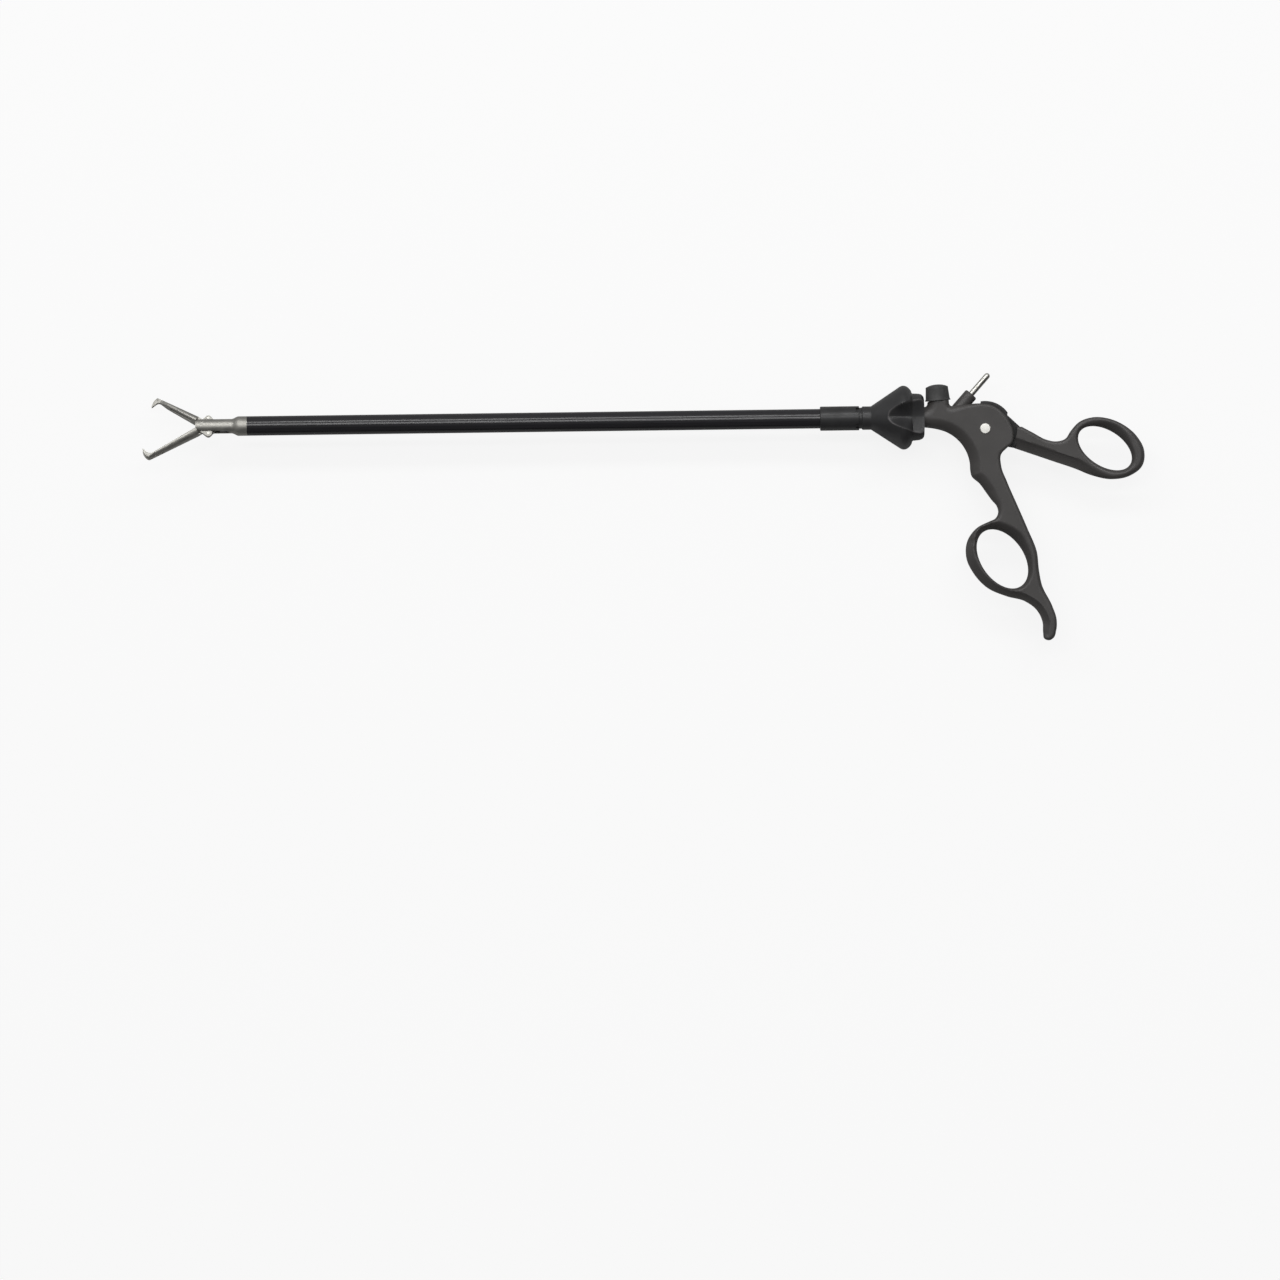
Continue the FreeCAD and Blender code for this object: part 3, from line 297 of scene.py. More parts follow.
def finishPiece(piece, body, node, sharpAngle):
    piece.data.shade_smooth()
    piece.data.set_sharp_from_angle(angle=math.radians(sharpAngle))
    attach(piece, body)
    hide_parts(node)


def smoothPath(rows, step, closed=False):
    # Cubic Hermite curve through the rows' first two columns. The direction at a row is that of the circle
    # through it and its neighbours: (a/|a|^2 + b/|b|^2) for the steps a and b on both sides. Other columns
    # follow evenly.
    rows = np.array(rows, float)
    if closed:
        rows = np.vstack([rows[-1], rows, rows[0], rows[1]])
    steps = np.diff(rows[:, :2], axis=0)
    length = np.linalg.norm(steps, axis=1)
    share = steps / (length ** 2)[:, None]
    ways = np.vstack([steps[:1], share[:-1] + share[1:], steps[-1:]])
    ways /= np.linalg.norm(ways, axis=1)[:, None]
    path = []
    for i in range(1 if closed else 0, len(rows) - (2 if closed else 1)):
        t = np.arange(0, 1, 1 / max(1, round(length[i] / step)))[:, None]
        place = ((2 * t ** 3 - 3 * t ** 2 + 1) * rows[i, :2] + (t ** 3 - 2 * t ** 2 + t) * length[i] * ways[i]
                 + (3 * t ** 2 - 2 * t ** 3) * rows[i + 1, :2] + (t ** 3 - t ** 2) * length[i] * ways[i + 1])
        path.append(np.hstack([place, rows[i, 2:] * (1 - t) + rows[i + 1, 2:] * t]))
    if not closed:
        path.append(rows[-1:])
    return np.vstack(path)


def straightPath(rows, step):
    # evenly spaced rows along straight lines, without the last row
    rows = np.array(rows, float)
    path = []
    for a, b in zip(rows, rows[1:]):
        t = np.arange(0, 1, 1 / max(1, round(np.linalg.norm((b - a)[:2]) / step)))[:, None]
        path.append(a * (1 - t) + b * t)
    return np.vstack(path)


def around(centre, radius, angles):
    turns = np.radians(angles)
    return np.column_stack([centre[0] + radius * np.cos(turns), centre[1] + radius * np.sin(turns)])


def edgeHeight(points, loops, half):
    # Height of the face over each point: the least over all edge segments of
    # half - b + b (1 - (1 - min(d/w, 1))^p)^(1/p), with d the distance to the segment and its own width w,
    # depth b and roundness p. Also gives the least distance, and d/w at the segment that is lowest.
    starts = np.vstack(loops)
    ends = np.vstack([np.roll(loop, -1, axis=0) for loop in loops])
    way = ends[:, :2] - starts[:, :2]
    square = (way ** 2).sum(axis=1)
    w, b, p = ((starts[:, i] + ends[:, i]) / 2 for i in (2, 3, 4))
    height, nearest, share = (np.empty(len(points)) for _ in range(3))
    for first in range(0, len(points), 1000):
        some = points[first:first + 1000]
        gap = some[:, None, :] - starts[None, :, :2]
        along = np.clip((gap * way).sum(axis=2) / square, 0, 1)
        d = np.linalg.norm(gap - along[:, :, None] * way, axis=2)
        part = np.minimum(d / w, 1)
        value = half - b + b * (1 - (1 - part) ** p) ** (1 / p)
        lowest = value.argmin(axis=1)
        rows = np.arange(len(some))
        height[first:first + 1000] = value[rows, lowest]
        nearest[first:first + 1000] = d.min(axis=1)
        share[first:first + 1000] = (d / w)[rows, lowest]
    return height, nearest, share


def inside(points, loop):
    # counts how often a ray towards +X crosses the loop
    crossed = np.zeros(len(points), bool)
    for a, b in zip(loop, np.roll(loop, -1, axis=0)):
        if a[1] != b[1]:
            level = (a[1] > points[:, 1]) != (b[1] > points[:, 1])
            crossed ^= level & (points[:, 0] < (b[0] - a[0]) * (points[:, 1] - a[1]) / (b[1] - a[1]) + a[0])
    return crossed


def edgedPlate(loops, half, spacing=0.6, rounds=8):
    # A plate between +half and -half whose edges follow edgeHeight. Loops keep the material on their left:
    # the outline runs anticlockwise and the holes clockwise. Rows hold x, y, w, b, p.
    loops = [np.array(loop, float) for loop in loops]
    rims = np.vstack(loops)
    spots = []
    for loop in loops:
        way = np.roll(loop, -1, axis=0)[:, :2] - np.roll(loop, 1, axis=0)[:, :2]
        inward = np.column_stack([-way[:, 1], way[:, 0]]) / np.linalg.norm(way, axis=1)[:, None]
        for k in range(1, rounds + 1):
            inset = loop[:, 2] * (1 - math.cos(math.pi / 2 * k / rounds))
            spot = loop[:, :2] + inward * inset[:, None]
            spots.append(np.column_stack([spot, inset])[(loop[:, 3] > 0.01)])
    spots = np.vstack(spots)
    low, high = loops[0][:, :2].min(axis=0), loops[0][:, :2].max(axis=0)
    u, v = np.meshgrid(np.arange(low[0], high[0], spacing), np.arange(low[1], high[1], spacing * 0.866))
    u = u + spacing / 2 * (np.arange(len(u)) % 2)[:, None]
    grid = np.column_stack([u.ravel(), v.ravel()])
    kept = inside(grid, loops[0])
    for hole in loops[1:]:
        kept &= ~inside(grid, hole)
    grid = grid[kept]
    near = edgeHeight(spots[:, :2], loops, half)[1]
    spots = spots[near > 0.96 * spots[:, 2], :2]
    tree = KDTree(len(spots))
    for index, (x, y) in enumerate(spots):
        tree.insert((x, y, 0), index)
    tree.balance()
    gridNear = edgeHeight(grid, loops, half)[1]
    free = np.array([tree.find((x, y, 0))[2] > 0.6 * spacing for x, y in grid]) & (gridNear > 0.4)
    points = np.vstack([rims[:, :2], spots, grid[free]])
    edges, start = [], 0
    for loop in loops:
        count = len(loop)
        edges += [(start + i, start + (i + 1) % count) for i in range(count)]
        start += count
    flat, _, triangles, origins, _, _ = delaunay_2d_cdt([Vector(spot) for spot in points], edges, [], 0, 1e-6)
    flat = np.array([tuple(spot) for spot in flat])
    triangles = np.array(triangles)
    middle = flat[triangles].mean(axis=1)
    wanted = inside(middle, loops[0])
    for hole in loops[1:]:
        wanted &= ~inside(middle, hole)
    triangles = triangles[wanted]
    height, _, share = edgeHeight(flat, loops, half)
    height = np.maximum(height, 0.01)
    # the ridge where the slope meets the flat face is marked for lighter colour: wear and a painted highlight
    rim = 0.3 * np.exp(-((share - 1) / 0.1) ** 2)
    count = len(flat)
    a, b, c = (flat[triangles[:, i]] for i in range(3))
    turned = (b[:, 0] - a[:, 0]) * (c[:, 1] - a[:, 1]) < (b[:, 1] - a[:, 1]) * (c[:, 0] - a[:, 0])
    triangles[turned] = triangles[turned][:, ::-1]
    place = {origin: index for index, group in enumerate(origins) for origin in group}
    walls = [(place[i] + count, place[j] + count, place[j], place[i]) for i, j in edges]
    faces = triangles.tolist() + (triangles[:, ::-1] + count).tolist() + walls
    used = np.unique(np.concatenate([np.ravel(triangles), np.ravel(triangles) + count]))
    lookup = np.full(2 * count, -1)
    lookup[used] = np.arange(len(used))
    vertices = np.vstack([np.column_stack([flat, height]), np.column_stack([flat, -height])])[used]
    faces = [tuple(lookup[list(polygon)]) for polygon in faces]
    return vertices, faces, np.concatenate([rim, rim])[used]


def lathe(profile, foot, axis, count=72):
    # A profile of (distance along the axis, radius) turned about the axis, with a fan over both ends:
    # point = foot + h axis + r (cos a across + sin a up)
    h, r = np.array(profile, float).T
    axis = np.array(axis, float) / np.linalg.norm(axis)
    up = np.array([0.0, 0.0, 1.0]) if abs(axis[2]) < 0.9 else np.array([1.0, 0.0, 0.0])
    across = np.cross(up, axis)
    across /= np.linalg.norm(across)
    up = np.cross(axis, across)
    turn = np.arange(count) * 2 * np.pi / count
    ring = np.cos(turn)[:, None] * across + np.sin(turn)[:, None] * up
    points = np.array(foot) + h[:, None, None] * axis + r[:, None, None] * ring
    points = np.vstack([points.reshape(-1, 3), np.array(foot) + h[0] * axis, np.array(foot) + h[-1] * axis])
    faces = []
    for i in range(len(h) - 1):
        for j in range(count):
            k = (j + 1) % count
            faces.append((i * count + j, i * count + k, (i + 1) * count + k, (i + 1) * count + j))
    last = len(h) * count
    faces += [(last, (j + 1) % count, j) for j in range(count)]
    faces += [(last + 1, last - count + j, last - count + (j + 1) % count) for j in range(count)]
    return points, faces, 0.0


def combine(piece, steps):
    # joins closed meshes to the piece or takes them off: steps of (operation, vertices, faces)
    for operation, vertices, faces in steps:
        mesh = bpy.data.meshes.new("cutter")
        mesh.from_pydata((np.array(vertices) / 1000).tolist(), [], faces)
        cutter = bpy.data.objects.new("cutter", mesh)
        bpy.context.scene.collection.objects.link(cutter)
        modifier = piece.modifiers.new("combine", "BOOLEAN")
        modifier.operation = operation
        modifier.solver = "EXACT"
        modifier.object = cutter
        bpy.context.view_layer.update()
        whole = bpy.data.meshes.new_from_object(piece.evaluated_get(bpy.context.evaluated_depsgraph_get()))
        piece.modifiers.clear()
        whole.name = piece.name
        piece.data = whole
        bpy.data.objects.remove(cutter)


def prism(corners, low, high):
    # a polygon, anticlockwise, between two heights
    count = len(corners)
    vertices = [(x, y, z) for z in (low, high) for x, y in corners]
    faces = [tuple(range(count))[::-1], tuple(range(count, 2 * count))]
    faces += [(i, (i + 1) % count, count + (i + 1) % count, count + i) for i in range(count)]
    return vertices, faces


# Moulded handle: a plate with its own edge shape at every place, and the nozzle and boss turned onto it
handle = {
    "half": 5.3,                        # half thickness
    "pivot": (84.55, -6.2),
    "barrel": (5.25, 5.25, 2.0),        # edge width, depth and roundness that make the barrel round
    "bevel": (5.4, 3.9, 1.25),          # the long slope that the index finger lies against
    "ring": (4.2, 2.6, 0.95),           # the finger ring's outer slope
    "hollow": (3.6, 2.6, 0.85),         # the hook's slope: under 1 it is hollow, steepest at its ridge
    # the slope round the ring's hole: direction, width, depth and roundness
    "holeBevel": [(0, 3.2, 3.8, 1.25), (30, 4.0, 4.2, 1.2), (60, 5.0, 4.4, 1.1), (100, 4.4, 4.2, 1.15),
                  (140, 2.4, 2.9, 1.3),
                  (180, 0.9, 1.1, 1.6), (212, 0.8, 1.1, 1.6), (240, 0.8, 1.2, 1.6), (280, 1.4, 1.8, 1.4),
                  (320, 2.0, 2.4, 1.3)],
    "cheek": (1.2, 1.1, 2.0),           # the sharper rounding round the cheeks
    "plain": (1.7, 1.6, 2.0),           # rounding elsewhere
    "slot": 2.75,                       # half width of the lever's slot
    "screwHole": 2.05,
    "trigger": ((56.0, -26.5), 20.7),   # centre and radius of the arc in front of the grip
    "ringHole": ((92.6, -73.1), 16.9, 10.9, -55.2),
    "stem": (60.8, 4.5), "lean": 4.0, "stemFront": (4.6, 4.6, 1.6), "stemRear": (2.4, 2.4, 2.0),
    "nozzleRadius": 3.8, "nozzleTop": 10.2,
    # the bore along the shaft: spindle with its snap ring, flush chamber, passage of the rod
    "bore": [(48.0, 3.7), (54.8, 3.7), (54.8, 4.3), (56.2, 4.3), (56.2, 3.7), (57.4, 3.7), (57.4, 3.0),
             (68.1, 3.0), (68.1, 1.9), (80.0, 1.9)],
    "boss": (77.8, 11.7), "bossAngle": 48.3, "bossRadius": 3.5, "bossLength": 12.4,
}


def ellipseLoop(centre, major, minor, degrees, edges, count):
    # Clockwise, so that the material lies on its left. Edges hold (direction in degrees, w, b, p).
    a = -np.arange(count) * 2 * np.pi / count
    turn = math.radians(degrees)
    x = major * np.cos(a) * math.cos(turn) - minor * np.sin(a) * math.sin(turn)
    y = major * np.cos(a) * math.sin(turn) + minor * np.sin(a) * math.cos(turn)
    table = np.array(edges, float)
    towards = np.degrees(np.arctan2(y, x))
    edge = [np.interp(towards, table[:, 0], table[:, i], period=360) for i in (1, 2, 3)]
    return np.column_stack([centre[0] + x, centre[1] + y, *edge])


def makeHandle():
    barrel, bevel, ring, plain = (handle[key] for key in ("barrel", "bevel", "ring", "plain"))
    hollow, cheek, stemFront, stemRear = (handle[key] for key in ("hollow", "cheek", "stemFront", "stemRear"))
    half = handle["half"]
    centre, radius = handle["trigger"]
    arc = [(x, y, *bevel) for x, y in around(centre, radius, np.linspace(64, -2.2, 8))]
    front = [(50.2, -5.25, *barrel), (53.0, -5.2, *barrel), (56.0, -5.5, 5.3, 5.2, 1.9),
             (*around(centre, radius, [80])[0], 5.4, 4.7, 1.6)]
    grip = [(77.3, -30.2, 4.6, 3.3, 1.3), (81.5, -34.4, 5.0, 3.3, 1.3), (84.7, -38.9, 4.8, 3.1, 1.3),
            (87.5, -42.8, 4.0, 2.7, 1.5), (90.2, -46.2, 2.8, 2.1, 1.8), (90.8, -49.4, 2.2, 1.9, 2),
            (89.2, -52.4, 2.2, 2.1, 2), (86.6, -53.6, 2.4, 2.4, 2)]
    fingerRing = [(79.6, -57.2, *plain), (74.7, -64.0, *ring), (74.2, -72.4, *ring), (77.7, -80.2, *ring),
                  (84.6, -87.7, *ring), (94.6, -92.3, *hollow)]
    hook = [(104.0, -95.0, *hollow), (110.2, -99.9, *hollow), (112.9, -106.0, *hollow),
            (113.1, -111.2, 3.0, 2.2, 1.2), (113.7, -114.2, *plain), (115.9, -115.1, *plain),
            (118.2, -113.9, *plain), (119.6, -110.2, *plain), (119.9, -104.4, *plain), (117.8, -97.6, *plain)]
    back = [(112.6, -86.6, 2.2, 2.2, 2), (111.2, -79.0, 2.3, 2.3, 2), (110.3, -70.0, 2.2, 2.2, 2),
            (105.5, -57.5, 1.8, 1.7, 2), (100.4, -45.4, *plain), (95.4, -33.6, *plain),
            (92.5, -25.4, *plain), (92.6, -19.4, *plain), (95.6, -16.2, 1.3, 1.2, 2),
            (98.4, -13.6, *cheek), (99.1, -9.0, *cheek), (96.9, -2.6, *cheek), (92.6, 2.9, *cheek),
            (88.0, 5.8, *cheek), (82.5, 6.7, 1.4, 1.3, 2), (75.0, 6.3, 2.0, 1.9, 2), (69.6, 5.7, 2.8, 2.6, 2),
            (67.0, 5.8, 3.4, 3.3, 2), (66.3, 6.7, *stemRear), (66.1, 8.4, *stemRear)]
    shoulder = [(65.95, 8.72, 0.3, 0.3, 2), (55.35, 7.98, 0.3, 0.3, 2)]
    rear = [(55.2, 7.7, *stemFront), (55.1, 6.8, *stemFront), (54.6, 5.7, *barrel), (53.2, 5.3, *barrel),
            (50.2, 5.25, *barrel)]
    endFace = straightPath([(50.2, 5.25, 1, 0, 1), (50.2, -5.25, 1, 0, 1)], 0.5)
    outline = np.vstack([smoothPath(front + arc + grip + fingerRing + hook + back, 0.55),
                         straightPath(shoulder, 0.5), smoothPath(rear, 0.5)[:-1], endFace])
    hole = ellipseLoop(*handle["ringHole"], handle["holeBevel"], 150)
    plate = edgedPlate([outline, hole], half)
    lean = math.radians(handle["lean"])
    upright = (-math.sin(lean), math.cos(lean), 0)
    radius, top = handle["nozzleRadius"], handle["nozzleTop"]
    neck = lathe([(1.0, radius), (top - 0.3, radius), (top, radius - 0.3)], (*handle["stem"], 0), upright)
    slant = math.radians(handle["bossAngle"])
    size = handle["bossRadius"]
    corner = np.radians(np.arange(0, 91, 15))
    rounded = list(zip(-0.9 + 0.9 * np.sin(corner), size - 0.9 + 0.9 * np.cos(corner)))
    boss = lathe([(-handle["bossLength"], size), (-2.0, size)] + rounded, (*handle["boss"], 0),
                 (math.cos(slant), math.sin(slant), 0))
    piece = makePiece("handleShell", [plate], "handle", "handle", "front_handle")
    x, y = handle["pivot"]
    slot = np.vstack([around((x, y), 14.5, np.arange(118, 7, -2)),
                      around((x, y), 18.1, np.arange(8, -69, -2)),
                      around((x, y), 9.4, np.arange(-96, -243, -3))])[::-1]
    bore = lathe(handle["bore"], (0, 0, 0), (1, 0, 0), 48)
    screwHole = lathe([(-6.0, handle["screwHole"]), (6.0, handle["screwHole"])], (x, y, 0), (0, 0, 1), 40)
    combine(piece, [("UNION", *neck[:2]), ("UNION", *boss[:2]), ("DIFFERENCE", *bore[:2]),
                    ("DIFFERENCE", *screwHole[:2]),
                    ("DIFFERENCE", *prism(slot.tolist(), -handle["slot"], handle["slot"]))])
    piece.data.shade_smooth()
    piece.data.set_sharp_from_angle(angle=math.radians(38))


# Thumb lever: the arm and ring outside the slot, and the thinner head between the cheeks
lever = {
    "half": 4.3, "headHalf": 2.6,
    "pivot": (84.55, -6.2),
    "bevel": (5.2, 2.6, 0.8),           # under 1 the slope is hollow, steepest at its ridge
    "ring": (2.4, 2.6, 1.8), "plain": (1.6, 1.5, 2.0),
    "holeBevel": [(0, 2.2, 2.6, 1.3), (30, 3.8, 3.5, 1.2), (60, 4.4, 3.6, 1.15), (90, 3.8, 3.4, 1.2),
                  (130, 2.0, 1.9, 1.4), (170, 1.2, 1.3, 1.6), (230, 1.4, 1.5, 1.6), (290, 1.8, 1.9, 1.4),
                  (330, 1.8, 2.1, 1.4)],
    "rootRadius": 16.4, "footRadius": 18.1,     # the arm's root and its lower corner, seen from the pivot
    "headRadius": 14.2, "bossRadius": 8.9, "screwHole": 2.05,
    "ringHole": ((145.9, -17.0), 15.4, 9.1, -33.5),
}


def makeLever():
    bevel, ring, plain = lever["bevel"], lever["ring"], lever["plain"]
    pivot = lever["pivot"]
    rootAngles = np.linspace(3.0, -34.3, 26)
    rootRadii = np.interp(rootAngles, (-34.3, -24.0), (lever["footRadius"], lever["rootRadius"]))
    ends = around(pivot, rootRadii, rootAngles)
    lower = [(*ends[-1], *bevel), (109.8, -20.0, *bevel), (120.0, -23.6, *bevel), (130.3, -27.2, *bevel)]
    ringRows = [(139.0, -30.8, 3.8, 2.6, 1.1), (149.2, -32.9, 2.0, 2.2, 1.8), (158.6, -31.2, *ring),
                (165.0, -26.0, *ring), (165.98, -18.6, *ring), (162.4, -11.2, *ring),
                (155.6, -5.2, 1.8, 1.8, 2),
                (147.4, -1.7, 1.5, 1.5, 2), (139.6, -1.1, 1.5, 1.5, 2), (133.0, -3.3, 1.8, 1.8, 2),
                (128.6, -7.8, 2.0, 2.0, 2)]
    upper = [(125.6, -11.9, 1.9, 1.8, 2), (121.0, -13.2, *plain), (115.7, -12.2, *plain),
             (109.0, -8.6, *plain), (103.0, -5.3, *plain)]
    outline = smoothPath(lower + ringRows + upper, 0.5)[:-1]
    root = np.column_stack([ends[:-1], np.tile((1.0, 0.0, 1.0), (len(ends) - 1, 1))])
    hole = ellipseLoop(*lever["ringHole"], lever["holeBevel"], 140)
    arm = edgedPlate([np.vstack([outline, root]), hole], lever["half"], 0.55)
    x, y = pivot
    rest = math.radians(14.5)
    socket = np.array([(-1.33, 8.9), (2.5, 8.9), (2.5, 3.7), (-2.5, 3.7), (-2.6, 3.72), (-8.63, 2.17)])
    turned = np.column_stack([x + socket[:, 0] * math.cos(rest) - socket[:, 1] * math.sin(rest),
                              y + socket[:, 0] * math.sin(rest) + socket[:, 1] * math.cos(rest)])
    head = np.vstack([around(pivot, lever["bossRadius"], np.arange(184, 297, 4)),
                      around(pivot, 18.0, np.arange(-34, 4, 3)), [(96.0, 0.6)],
                      around(pivot, lever["headRadius"], np.arange(35, 99, 3)),
                      [(82.3, 6.6), (79.6, 5.7)], turned])
    headRows = straightPath(np.column_stack([np.vstack([head, head[:1]]),
                                             np.tile((0.3, 0.3, 2.0), (len(head) + 1, 1))]), 1.2)
    screwHole = ellipseLoop(pivot, lever["screwHole"], lever["screwHole"], 0, [(0, 0.2, 0.2, 2.0)], 40)
    headPlate = edgedPlate([headRows, screwHole], lever["headHalf"], 1.5, 3)
    # the head takes the near-black finish: painted shade between the cheeks
    makePiece("leverHead", [headPlate], "shadedHead", "lever", "thumb_lever")
    makePiece("leverShell", [arm], "handle", "lever", "thumb_lever")


# Finger wheel: a turned profile pressed in by three scallops. Across the shaft a scallop is the curve
# z = f + (Z - f) (|y| / Y)^m, with its floor f, and (Y, Z) the point where it leaves the wheel's outside.
# From the apex on, over the distance s, Y = k sqrt(s) (1 - q s), which draws the pointed arch.
wheel = {
    "collar": 6.0, "peak": 16.38, "rim": 12.4, "front": 21.4, "rear": 53.4, "bore": 3.6, "recess": 5.55,
    "recessStart": 49.9, "rimStart": 47.5, "scallops": 3, "scallopTurn": -3.5, "apexAt": 34.6, "arch": 2.45,
    "archFall": 0.0065, "floor": 6.25, "floorReach": 18.5, "floorPower": 1.2, "sectionPower": 1.5,
    "softness": 0.3,                    # how wide the scallop's edge is rounded
    "step": 0.16,                       # between the rows of the outside
    "across": 300,                      # points round a row, which keeps it under 200,000 triangles
}


def makeWheel():
    g = wheel
    front = [(g["front"], g["bore"]), (g["front"], g["collar"] - 0.4), (g["front"] + 0.4, g["collar"]),
             (26.1, g["collar"]), (26.7, g["collar"] + 0.4)]
    flank = [(26.7, g["collar"] + 0.4), (40.9, 15.8)]
    crest = [(40.9, 15.8), (41.9, 16.25), (43.0, g["peak"]), (44.2, 16.1), (45.2, 15.5), (46.2, 14.5),
             (46.8, 13.6), (47.1, 12.7), (g["rimStart"], g["rim"])]
    rear = [(g["rimStart"], g["rim"]), (50.6, g["rim"])]
    corner = [(50.6, g["rim"]), (51.9, 12.0), (52.9, 11.0), (g["rear"], 9.4)]
    innerWall = [(g["rear"], 9.4), (g["rear"], g["recess"]), (g["recessStart"], g["recess"]),
                 (g["recessStart"], g["bore"]), front[0]]
    step = g["step"]
    outerWall = np.vstack([straightPath(front, 0.4), straightPath(flank, step), smoothPath(crest, step)[:-1],
                           straightPath(rear, step), smoothPath(corner, step)[:-1],
                           straightPath(innerWall[:2], 0.3)])
    profile = np.vstack([outerWall, straightPath(innerWall[1:], 0.5)])
    count = g["across"]
    a = np.arange(count) * 2 * np.pi / count
    limit = np.full((len(profile), count), 99.0)
    apexRadius = np.interp(g["apexAt"], *np.array(flank).T)
    for i, (x, r) in enumerate(outerWall):
        s = x - g["apexAt"]
        if s <= 0:
            continue
        edge = max(r, g["rim"]) if x > g["rimStart"] - 0.1 else r
        wide = g["arch"] * math.sqrt(s) * (1 - g["archFall"] * s)
        floor = g["floor"] + (apexRadius - g["floor"]) * (1 - min(s / g["floorReach"], 1)) ** g["floorPower"]
        y = np.linspace(0, 1.5 * wide, 90)
        z = floor + (math.sqrt(edge ** 2 - wide ** 2) - floor) * (y / wide) ** g["sectionPower"]
        turn = np.arctan2(y, z)
        last = turn.argmax() + 1
        for k in range(g["scallops"]):
            off = a - math.radians(90 + g["scallopTurn"]) - k * 2 * np.pi / g["scallops"]
            off = np.abs((off + np.pi) % (2 * np.pi) - np.pi)
            limit[i] = np.minimum(limit[i], np.interp(off, turn[:last], np.hypot(y, z)[:last], right=99.0))
    x, r = profile[:, :1], np.broadcast_to(profile[:, 1:], limit.shape)
    soft = g["softness"]
    blend = np.clip(0.5 + (limit - r) / (2 * soft), 0, 1)
    least = limit * (1 - blend) + r * blend - soft * blend * (1 - blend)
    pressed = np.where(limit < 90, np.minimum(least, r), r)
    points = np.stack([np.broadcast_to(x, r.shape), pressed * np.cos(a), pressed * np.sin(a)], axis=2)
    rows = len(profile)
    faces = []
    for i in range(rows):
        for j in range(count):
            k, n = (j + 1) % count, (i + 1) % rows
            faces.append((i * count + j, n * count + j, n * count + k, i * count + k))
    # the scallops' edges are marked for lighter colour: wear and a painted highlight
    rim = (np.exp(-((limit - r) / 0.6) ** 2) * (limit < 90)).ravel()
    makePiece("wheelShell", [(points.reshape(-1, 3), faces, rim)], "wheel", "shaft", "rotation_wheel",
              50.0)


def softened(node, body, finish, slotName, width, angle=32.0):
    # a copy of a CAD node with its split corners joined and its edges broken by a small bevel
    source = nodes[node]
    mesh = source.data.copy()
    mesh.name = node + "Softened"
    work = bmesh.new()
    work.from_mesh(mesh)
    bmesh.ops.remove_doubles(work, verts=work.verts, dist=1e-6)
    work.to_mesh(mesh)
    work.free()
    mesh.materials.clear()
    mesh.materials.append(finishes[finish])
    piece = bpy.data.objects.new(node + "Softened", mesh)
    bpy.context.scene.collection.objects.link(piece)
    finishPiece(piece, body, node, angle)
    bevel = piece.modifiers.new("brokenEdge", "BEVEL")
    bevel.width = width / 1000
    bevel.segments = 2
    bevel.limit_method = "ANGLE"
    bevel.angle_limit = math.radians(angle)
    bevel.use_clamp_overlap = True


makeHandle()
makeLever()
makeWheel()
# node, body, finish, slot and width of the broken edge
for row in (("jaw_housing", "shaft", "satin", "satin_steel", 0.15),
            ("upper_jaw", "upper_jaw_body", "satin", "satin_steel", 0.2),
            ("lower_jaw", "lower_jaw_body", "satin", "satin_steel", 0.2),
            ("front_sleeve", "shaft", "sleeve", "wheel_black", 0.2),
            ("flush_port_cap", "port_cap", "cap", "cap_black", 0.25),
            ("pivot_screw", "handle", "plated", "pin_steel", 0.15)):
    softened(*row)
print("mesh pieces made")


# Camera, lamps, floor and world
studio = {
    "viewCentre": (-93.75, -112.3),     # the point of the instrument's plane in the middle of the photograph
    "viewWidth": 656.4,                 # width of the photograph at the shaft
    "viewTurn": -0.73,                  # degrees by which the shaft rises to the right
    "cameraHeight": 6000.0,
    "keyAngle": 43.0,                   # from straight up, towards +Y
    "keyPower": 10.0,
    "topAngle": 17.0,
    "topPower": 11.0,
    "fillAngle": -58.0,
    "fillPower": 1.0,
    "floorSize": 9000.0,
}


def addLamp(name, angle, distance, size, power):
    # a soft box over the shaft, turned about X by this angle from straight up towards +Y
    turn = math.radians(angle)
    data = bpy.data.lights.new(name, "AREA")
    data.shape = "RECTANGLE"
    data.size, data.size_y = size[0] / 1000, size[1] / 1000
    data.energy = power
    lamp = bpy.data.objects.new(name, data)
    bpy.context.scene.collection.objects.link(lamp)
    lamp.location = Vector((-0.08, math.sin(turn) * distance / 1000, math.cos(turn) * distance / 1000))
    lamp.rotation_euler = (-turn, 0.0, 0.0)


# two narrow strips draw the two fine lines along the tube, and a weak wide box lifts the shadow side
addLamp("keyStrip", studio["keyAngle"], 1400.0, (2600.0, 200.0), studio["keyPower"])
addLamp("topStrip", studio["topAngle"], 2200.0, (2200.0, 260.0), studio["topPower"])
addLamp("fillBox", studio["fillAngle"], 1800.0, (2600.0, 1200.0), studio["fillPower"])

cameraData = bpy.data.cameras.new("photoCamera")
cameraData.type = "PERSP"
cameraData.sensor_width = 36.0
cameraData.lens = 36.0 * studio["cameraHeight"] / studio["viewWidth"]
cameraData.clip_end = 100.0
camera = bpy.data.objects.new("photoCamera", cameraData)
camera.location = [place / 1000 for place in (*studio["viewCentre"], studio["cameraHeight"])]
camera.rotation_euler = (0.0, 0.0, math.radians(studio["viewTurn"]))
bpy.context.scene.collection.objects.link(camera)
bpy.context.scene.camera = camera


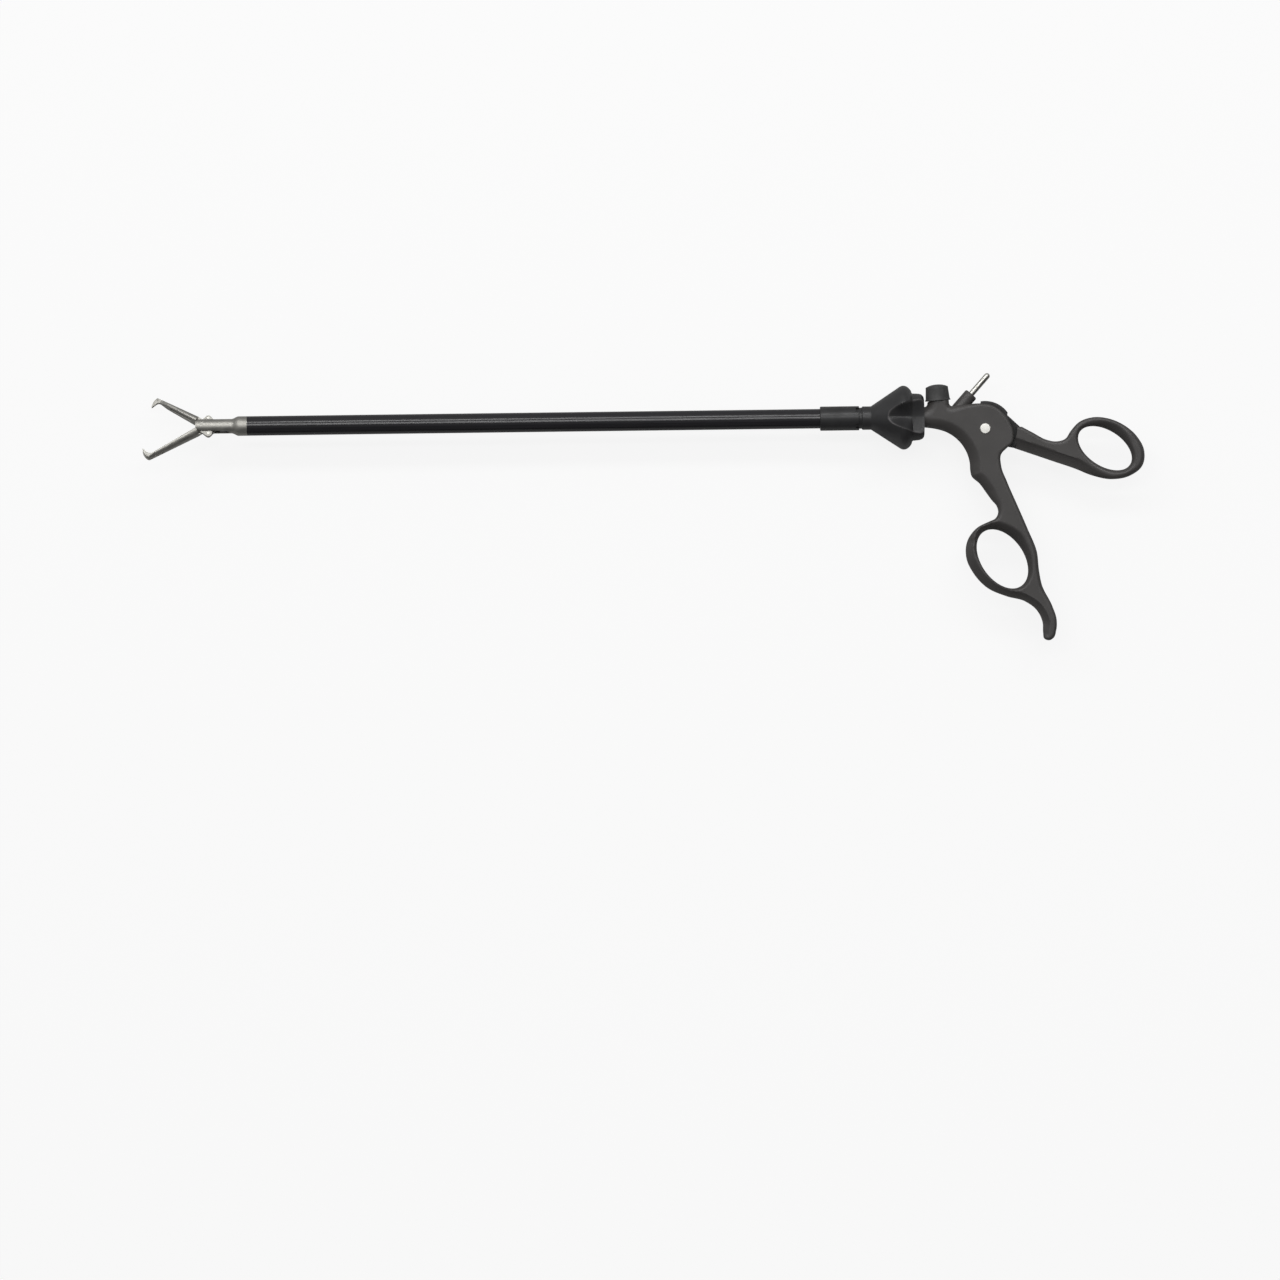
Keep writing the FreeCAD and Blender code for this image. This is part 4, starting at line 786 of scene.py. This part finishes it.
def makeFloor():
    # one wide quad just under the instrument
    half = studio["floorSize"] / 2000
    low = cadBox[0].z - 0.0002
    mesh = bpy.data.meshes.new("studioFloor")
    mesh.from_pydata([(-half, -half, low), (half, -half, low), (half, half, low), (-half, half, low)], [],
                     [(0, 1, 2, 3)])
    floor = bpy.data.objects.new("studioFloor", mesh)
    bpy.context.scene.collection.objects.link(floor)
    material, tree = newMaterial("paperFloor")
    # white paper: the eye sees it white with the object's shadow on it, and the object reflects it duller
    path = addNode(tree, "ShaderNodeLightPath")
    tone = addNode(tree, "ShaderNodeMix", {
        0: (path, "Is Camera Ray"), 6: linear("#b8b8b8"), 7: linear("#f6f6f6")}, data_type="RGBA")
    paper = addNode(tree, "ShaderNodeBsdfDiffuse", {"Color": (tone, 2)})
    glow = addNode(tree, "ShaderNodeEmission", {"Color": (1.0, 1.0, 1.0, 1.0), "Strength": 1.0})
    share = addNode(tree, "ShaderNodeMath", {0: (path, "Is Camera Ray"), 1: 0.86}, operation="MULTIPLY")
    both = addNode(tree, "ShaderNodeMixShader", {0: (share, "Value"), 1: (paper, "BSDF"),
                                                 2: (glow, "Emission")})
    addNode(tree, "ShaderNodeOutputMaterial", {"Surface": (both, "Shader")})
    mesh.materials.append(material)


makeFloor()

world = bpy.data.worlds.new("studioWorld")
bpy.context.scene.world = world
world.use_nodes = True
world.node_tree.nodes.clear()
# The room is pale above and behind the shooting table and dim in front of it. The eye sees white.
direction = addNode(world.node_tree, "ShaderNodeTexCoord")
facing = addNode(world.node_tree, "ShaderNodeVectorMath", {
    0: (direction, "Generated"), 1: (-0.3, 0.66, 0.69)}, operation="DOT_PRODUCT")
walls = addNode(world.node_tree, "ShaderNodeValToRGB", {"Fac": (facing, "Value")},
                stops=[(0.1, "#3e3e3e"), (0.85, "#bcbcbc")])
ray = addNode(world.node_tree, "ShaderNodeLightPath")
room = addNode(world.node_tree, "ShaderNodeMix", {0: (ray, "Is Camera Ray"), 6: (walls, "Color"),
                                                  7: (1.0, 1.0, 1.0, 1.0)}, data_type="RGBA")
background = addNode(world.node_tree, "ShaderNodeBackground", {"Color": (room, 2), "Strength": 1.0})
addNode(world.node_tree, "ShaderNodeOutputWorld", {"Surface": (background, "Background")})

scene = bpy.context.scene
scene.view_settings.view_transform = "Standard"
print("studio ready")
